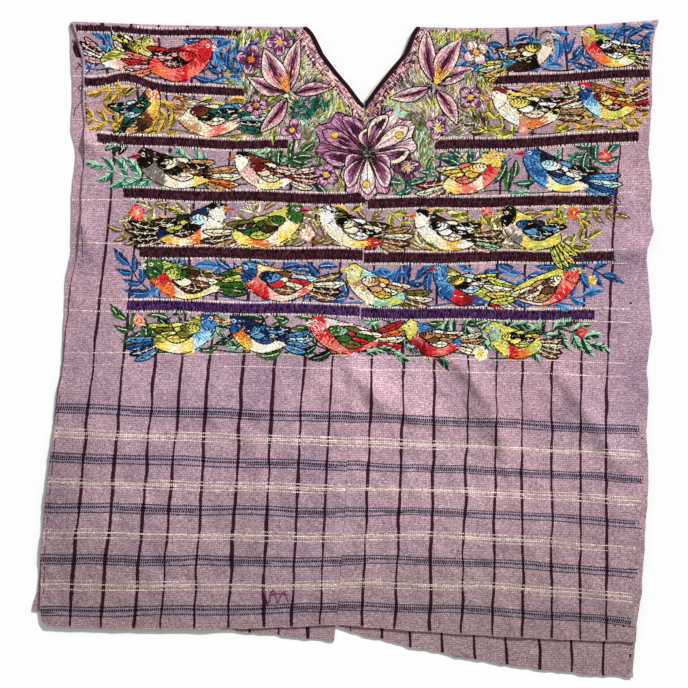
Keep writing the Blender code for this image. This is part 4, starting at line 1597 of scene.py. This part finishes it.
TRIM_WIDTH = 14.0
TRIM_LANES = 3
TRIM_TOP = 404.0
TRIM_STEP = 1.6           # from one of its slanted stitches to the next
TRIM_COLOURS = {
    "left": ("shell", "plum", "pink", "blush", "umber", "pink", "rose", "pink", "cream"),
    "right": ("pink", "plum", "pink", "umber", "black", "blush", "plum", "rose", "tan"),
}


def sew_neck_trim(work):
    """A closely filled strip along each side of the neck, with slanted stitches over it."""
    for side, column in ((-1.0, "left"), (1.0, "right")):
        heights = np.array([NECK_POINT - 9.0] + [place.y for place in reversed(NECK)])
        cut = along(NECK, heights, column) + side * 0.5
        inner, outer = np.stack([cut, heights], -1), np.stack([cut + side * TRIM_WIDTH, heights], -1)
        names = TRIM_COLOURS[column]
        work.fill(np.concatenate([inner, outer[::-1]]), "rose blush plum mauve", 90 - side * 38, 5.0)
        work.stroke(outer, "plum", OUTLINE_WIDTH)
        work.step += 1
        for y in np.arange(NECK_POINT - 8.0, TRIM_TOP, TRIM_STEP):
            edge = float(along(NECK, max(y, NECK_POINT), column)) + side * 0.6
            for lane in range(TRIM_LANES):
                x = edge + side * (lane + random.uniform(-0.1, 0.35)) * TRIM_WIDTH / TRIM_LANES
                foot = y + random.uniform(-TRIM_STEP, TRIM_STEP)
                name = names[random.integers(len(names))]
                rise = random.uniform(2.8, 5.4) * (1.0 if lane % 2 else -1.0)
                work.sew((x, foot), (x + side * 4.2, foot + rise), name, BLADE_WIDTH, lift=0.3)


# The ground between the flowers beside the neck is filled with short stitches that lie like grass. The light
# ones leave out the deepest patches, up to 2, of a measure of their own, where the dark ones show.
MEADOWS = table(
    "left right low high count deepest colours",
    (-148, 26, 214, 404, 3600, 2.0, "pine olive green umber olive teal pine grey olive"),
    (26, 196, 206, 404, 3500, 2.0, "olive umber pine olive grey green olive pine"),
    (-148, 26, 214, 404, 5200, 0.45, "olive cream mint blush cream tan shell cream lime cream blush"),
    (26, 196, 206, 404, 5400, 0.55, "mint cream olive blush shell tan cream cream lime gold cream"),
)
BARE_GROUND = 1.75        # above this, a meadow's own measure leaves the cloth bare


def sew_meadow(work, meadow):
    """Slow waves of x and y decide how the grass leans, where it is bare and which thread it is of."""
    names = meadow.colours.split()
    work.step += 1
    middle = (meadow.left + meadow.right) / 2.0
    for _ in range(meadow.count):
        x, y = random.uniform(meadow.left, meadow.right), random.uniform(meadow.low, meadow.high)
        sway = math.sin(x / 13.0 + 1.0) + math.sin(y / 17.0 + 2.0)
        bare = math.sin(x / 19.0 + 4.0) + math.sin(y / 15.0) + (y < 262.0) * 1.2 * abs(x - 28.0) / 90.0
        depth = math.sin(x / 8.0 - y / 13.0) + math.sin(y / 7.0 + x / 19.0)
        if bare > BARE_GROUND or depth > meadow.deepest or not work.is_free((x, y)):
            continue
        patch = (math.sin(x / 11.0 + y / 31.0) + math.sin(y / 14.0 - x / 40.0) + 2.0) / 4.0
        name = names[int(np.clip(patch * len(names) + random.uniform(-1.2, 1.2), 0, len(names) - 1))]
        end = blade_end(x, y, 80.0 + 34.0 * sway - 0.25 * (x - middle) + random.uniform(-14, 14))
        if work.is_free(end):
            work.sew((x, y), end, name, BLADE_WIDTH)


# What fills the ground of a row: a wavy twig along its foot, sprays that stand behind its birds, and fans
# of three leaves in what is left between them.
FILLERS = table(
    "row start end sprays fans leaf twig",
    (1, -322, -140, 9, 10, 26, "navy"), (1, 184, 378, 12, 16, 26, "navy"),
    (2, -306, -114, 12, 18, 24, "olive"), (2, 178, 370, 12, 18, 24, "umber"),
    (3, -262, -60, 6, 8, 31, "pine"), (3, 104, 322, 7, 8, 31, "pine"), (4, -268, 312, 28, 40, 23, "umber"),
    (5, -256, 300, 18, 22, 30, "blue"), (6, -256, 276, 18, 24, 30, "pine"),
)
ROOM_BELOW, ROOM_ABOVE = 9.0, 7.0     # from a row's pictures to the bands' middles
TWIG_RISE, TWIG_SWAY, TWIG_STEP = 12.5, 3.0, 6.0
SPRAY_SLACK, FAN_SLACK = 4.0, 2.0     # how far leaves may reach out of their row
FAN_TRIES = 24
FAN_TURNS = (-34.0, 34.0, 0.0)


def row_room(row, x):
    """The lowest and highest place of a row's pictures at x: the first row's right half has no upper band."""
    low = float(weft_height(row_band(row), x)) + ROOM_BELOW
    if row == 1 and x > NECK[-1].left:
        return low, float(weft_height(FOLD, x)) - FOLD_INSET - 3.0
    return low, float(weft_height(row_band(row - 1), x)) - ROOM_ABOVE


def sew_twig(work, filler):
    """A wavy line a little above the row's band."""
    x = np.arange(filler.start + TWIG_STEP, filler.end - TWIG_STEP, TWIG_STEP)
    y = weft_height(row_band(filler.row), x) + TWIG_RISE + TWIG_SWAY * np.sin(x / 17.0 + filler.row)
    work.stroke(np.stack([x, y], -1), filler.twig, STEM_WIDTH, 6.0)


def sew_ground(work, filler):
    sew_twig(work, filler)
    sew_sprays(work, filler)


def sew_sprays(work, filler):
    """Sprays an even way apart, that start low and high by turns and lean outward from the row's middle."""
    gap = (filler.end - filler.start) / filler.sprays
    for number in range(filler.sprays):
        x = filler.start + gap * (number + random.uniform(0.2, 0.8))
        bottom, top = row_room(filler.row, x)
        least, most, rising = (0.7, 1.0, -1.0) if number % 2 else (0.0, 0.3, 1.0)
        y = bottom + (top - bottom) * random.uniform(least, most)
        lean = random.uniform(12.0, 50.0) * rising
        leftward = x < (filler.start + filler.end) / 2.0
        angle = 180.0 - lean if leftward else lean
        length = filler.leaf * random.uniform(1.1, 1.7)
        if bottom - SPRAY_SLACK < y + length * math.sin(math.radians(angle)) < top + SPRAY_SLACK:
            sew_spray(work, np.array([x, y]), angle, length, filler.leaf, foliage(filler.row))


def sew_fans(work, filler):
    """Three leaves from one foot, wherever a few tries find room for them."""
    for _ in range(filler.fans):
        names = foliage(filler.row)
        for _ in range(FAN_TRIES):
            x = random.uniform(filler.start, filler.end)
            bottom, top = row_room(filler.row, x)
            foot = np.array([x, random.uniform(bottom, top)])
            angle = random.uniform(-70.0, 70.0) + (180.0 if random.random() < 0.5 else 0.0)
            if all(work.is_free(foot + reach * heading(angle)) for reach in (0.0, 5.0, 10.0)):
                break
        else:
            continue
        for turn in FAN_TURNS:
            length = filler.leaf * random.uniform(0.75, 1.0)
            ahead = length * heading(angle + turn)
            free = all(work.is_free(foot + share * ahead) for share in (0.6, 1.0))
            if free and bottom - FAN_SLACK < foot[1] + ahead[1] < top + FAN_SLACK:
                sew_leaf(work, foot, angle + turn, length, names)


# Small marks of wear and mending, and one of painted shadow at the left armhole's end: keep is the share of a
# line's stitches that is left.
MARKS = table(
    "colour width keep points",
    ("black", 1.0, 0.6, ((-331, 255), (-334, 190), (-332, 108))),
    ("black", 1.0, 0.5, ((-348, 76), (-354, 26), (-361, -60), (-371, -150), (-380, -250), (-382, -318))),
    ("black", 1.2, 1.0, ((-342, 354), (-335, 362))), ("black", 1.2, 1.0, ((-339, 363), (-334, 357))),
    # painted shadow: a thick black mark where the gap at the left armhole's end lies in shade
    ("black", 2.6, 1.0, ((-328, 263), (-327, 255))),
    ("black", 1.3, 1.0, ((-334, 334), (-338, 333), (-339, 329), (-335, 327), (-332, 330), (-334, 334))),
    ("black", 1.2, 0.9, ((-329, 326), (-328, 300), (-327, 284))),
    ("black", 2.4, 1.0, ((-328, 301), (-327, 296))),
    ("black", 1.1, 1.0, ((-333, 315), (-343, 304), (-344, 295))),
    ("plum", 1.6, 1.0, ((334, 189), (341, 184), (346, 177), (342, 173))),
    ("plum", 1.3, 1.0, ((336, 193), (345, 191), (350, 185))), ("navy", 2.2, 1.0, ((361, 58), (364, 57))),
    ("navy", 1.1, 0.7, ((361, -112), (378, -114))), ("navy", 1.1, 0.7, ((362, -168), (380, -169))),
    ("navy", 1.1, 0.7, ((360, -227), (377, -228))), ("navy", 1.1, 0.7, ((358, -279), (374, -280))),
    ("violet", 1.9, 1.0, ((-104, -303), (-98, -325), (-91, -304), (-85, -323), (-78, -306), (-72, -321))),
    ("violet", 1.9, 1.0, ((-96, -312), (-84, -310), (-70, -312))),
    ("navy", 1.3, 0.8, ((340, -351), (366, -353))), ("black", 2.2, 1.0, ((362, -387), (362, -392))),
)

# The corners of the back's band, where it shows past the front's edge below the left shoulder.
BACK_BAND_END = ((-347, 394), (-341, 389), (-334.5, 369), (-341, 370), (-345, 379))


def sew_marks(work):
    """These may lie on the back too, where it shows past the front."""
    work.cloth |= work.back
    work.fill(np.array(BACK_BAND_END), PLUM_SATIN, 62.0, 5.0, glint=0.0)
    for mark in MARKS:
        work.stroke(mark.points, mark.colour, mark.width, 3.6, lift=0.2, keep=mark.keep)


def sew_birds(work, over_band):
    """A bird whose tail hangs down far is sewn after the bands, and lies over one."""
    for row in ROWS:
        work.begin(f"birds_row_{row}")
        for bird in BIRDS:
            if bird.row == row and (bird.tail > HANGING_TAIL) == over_band:
                sew_bird(work, bird)


def embroider(material):
    """Sews everything, from what lies lowest to what lies on top, and makes the pieces."""
    work = Embroidery()

    def sew_all(sew, things, piece=None):
        """Sews things into one piece, or each into its own row's."""
        for thing in things:
            work.begin(piece or f"birds_row_{thing.row}")
            sew(work, thing)

    sew_all(sew_ground, FILLERS)
    sew_birds(work, over_band=False)
    sew_all(sew_bloom, BLOOMS)
    sew_all(sew_fans, FILLERS)
    sew_all(sew_band, BANDS, "satin_bands")
    sew_birds(work, over_band=True)
    work.begin("neck_flowers")
    sew_neck_trim(work)
    for violet in VIOLETS:
        sew_bloom(work, violet, outlined=True)
    sew_all(sew_lily, LILIES, "neck_flowers")
    sew_all(sew_orchid, ORCHIDS, "neck_flowers")
    sew_orchid_middle(work)
    for sew, things in ((sew_fern, FERNS), (sew_tuft, TUFTS), (sew_meadow, MEADOWS)):
        sew_all(sew, things, "neck_leaves")
    work.begin("mends_and_marks")
    sew_marks(work)
    return work.build(material)


# ---------------------------------------------------------------- neck binding
def binding_piece(side, material):
    """The bound edge: a soft roll along the cut, from the back point over the shoulder to the front one."""
    inward = 1.0 if side == "left" else -1.0

    def station(layer, y):
        """The roll's middle and half its width at the height y of one half."""
        edge = float(along(NECK, y, neck_column(side, layer))) + inward * SEAM_GAP
        room = inward * (float(along(SEAM, y, "x")) - edge) - SEAM_GAP / 2.0
        reach = min(BINDING_REACH, room)
        x = edge + inward * reach / 2.0
        z = float(front_height(x, y)) if layer == "front" else BACK_MIDDLE
        return x, y, z + BINDING_LIFT, reach / 2.0

    top_y = (FOLD.left_seam if side == "left" else FOLD.right_seam) - FOLD_INSET
    down = np.linspace(top_y, NECK_POINT + BINDING_END, BINDING_STATIONS)
    back = [station("back", y) for y in down]
    front = [station("front", y) for y in down]
    turn = [(back[0][0], top_y + out, BACK_MIDDLE + BINDING_LIFT + up, back[0][3]) for out, up in fold_turn()]
    path = np.array(back[::-1] + turn + front)
    spots, half = path[:, :3], path[:, 3:]
    tangent = np.gradient(spots, axis=0)
    tangent /= np.linalg.norm(tangent, axis=1, keepdims=True)
    level = np.stack([tangent[:, 1], -tangent[:, 0], np.zeros(len(path))], -1)
    level = np.where(np.abs(level[:, :1]) < 0.05, [1.0, 0.0, 0.0], level)
    level /= np.linalg.norm(level, axis=1, keepdims=True)
    up = np.cross(level, tangent)
    points, over_cloth = [], []
    for corner in range(BINDING_RING):
        angle = 2.0 * math.pi * corner / BINDING_RING
        offset = level * half * math.cos(angle) + up * BINDING_RISE * math.sin(angle)
        points.append(spots + offset)
        over_cloth.append(-inward * offset[:, 0] / half[:, 0])
    inside = np.repeat(np.arange(len(path)) < len(back), BINDING_RING)
    number = np.arange(len(path) * BINDING_RING).reshape(len(path), BINDING_RING)
    onward = np.roll(number, -1, axis=1)
    sides = np.stack([number[:-1], onward[:-1], onward[1:], number[1:]], -1).reshape(-1, 4)
    caps = np.array([number[0][::-1], number[-1]])
    points = np.stack(points, 1).reshape(-1, 3)
    piece = new_object(f"neck_binding_roll_{side}", points, [sides, caps], material)
    float_attribute(piece, "over_cloth", np.stack(over_cloth, 1))
    float_attribute(piece, "inside", inside)
    return piece


def binding_material():
    nodes = Nodes("plum_binding", 0.85, 0.05)
    plum = nodes.varied((38, 16, 26), nodes.noise(700, detail=2.0), 0.5)
    cream = nodes.varied((238, 220, 194), nodes.noise(500), 0.4)
    lining = nodes.attribute("inside") * nodes.spread(nodes.attribute("over_cloth"), -0.8, -0.7)
    return nodes.finish(nodes.mix(lining, plum, cream), nodes.noise(900, detail=1.0), 0.5, 0.0006)


# ---------------------------------------------------------------- floor, light and camera
FLOOR_SIZE = 60.0             # lengths of the stage are in metres
FLOOR_DROP = 0.0015
FLOOR_COLOUR = (0.93, 0.93, 0.93, 1.0)
SUN_STRENGTH = 3.6
SUN_WIDTH = 6.0               # degrees, which soften the shadows' edges
SUN_TURN = (-56.0, 0.0, -38.0)
SKY_STRENGTH = 0.43
LENS, SENSOR = 85.0, 36.0
VIEW_WIDTH = 0.8738           # how much of the ground the picture shows, from side to side
VIEW_MIDDLE = (-0.00127, 0.0057)


def set_stage():
    """A pale floor, one soft sun from the upper left, an even sky and a camera straight above."""
    bpy.ops.mesh.primitive_plane_add(size=FLOOR_SIZE, location=(0.0, 0.0, -FLOOR_DROP))
    floor = bpy.context.object
    floor.name = "floor"
    nodes = Nodes("floor", 0.9, 0.0)
    nodes.shader.inputs["Base Color"].default_value = FLOOR_COLOUR
    nodes.shader.inputs["Specular IOR Level"].default_value = 0.0
    floor.data.materials.append(nodes.material)

    sun = bpy.data.lights.new("key", "SUN")
    sun.energy = SUN_STRENGTH
    sun.angle = math.radians(SUN_WIDTH)
    lamp = bpy.data.objects.new("key", sun)
    lamp.rotation_euler = [math.radians(turn) for turn in SUN_TURN]
    bpy.context.collection.objects.link(lamp)
    world = bpy.data.worlds.new("studio")
    world.use_nodes = True
    sky = world.node_tree.nodes["Background"]
    sky.inputs["Color"].default_value = (1.0, 1.0, 1.0, 1.0)
    sky.inputs["Strength"].default_value = SKY_STRENGTH
    bpy.context.scene.world = world

    camera = bpy.data.cameras.new("camera")
    camera.lens = LENS
    camera.sensor_width = SENSOR
    viewer = bpy.data.objects.new("camera", camera)
    viewer.location = (*VIEW_MIDDLE, VIEW_WIDTH * LENS / SENSOR)
    bpy.context.collection.objects.link(viewer)
    bpy.context.scene.camera = viewer
    bpy.context.scene.view_settings.view_transform = "Standard"


def main():
    cloth = cloth_material()
    thread = thread_material()
    binding = binding_material()
    for side in ("left", "right"):
        piece, area = panel_piece(side, cloth)
        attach(piece, "root")
        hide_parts(f"{side}_panel")
        roll = binding_piece(side, binding)
        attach(roll, "root")
        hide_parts(f"neck_binding_{side}")
    for piece in embroider(thread):
        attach(piece, "root")
    set_stage()


main()
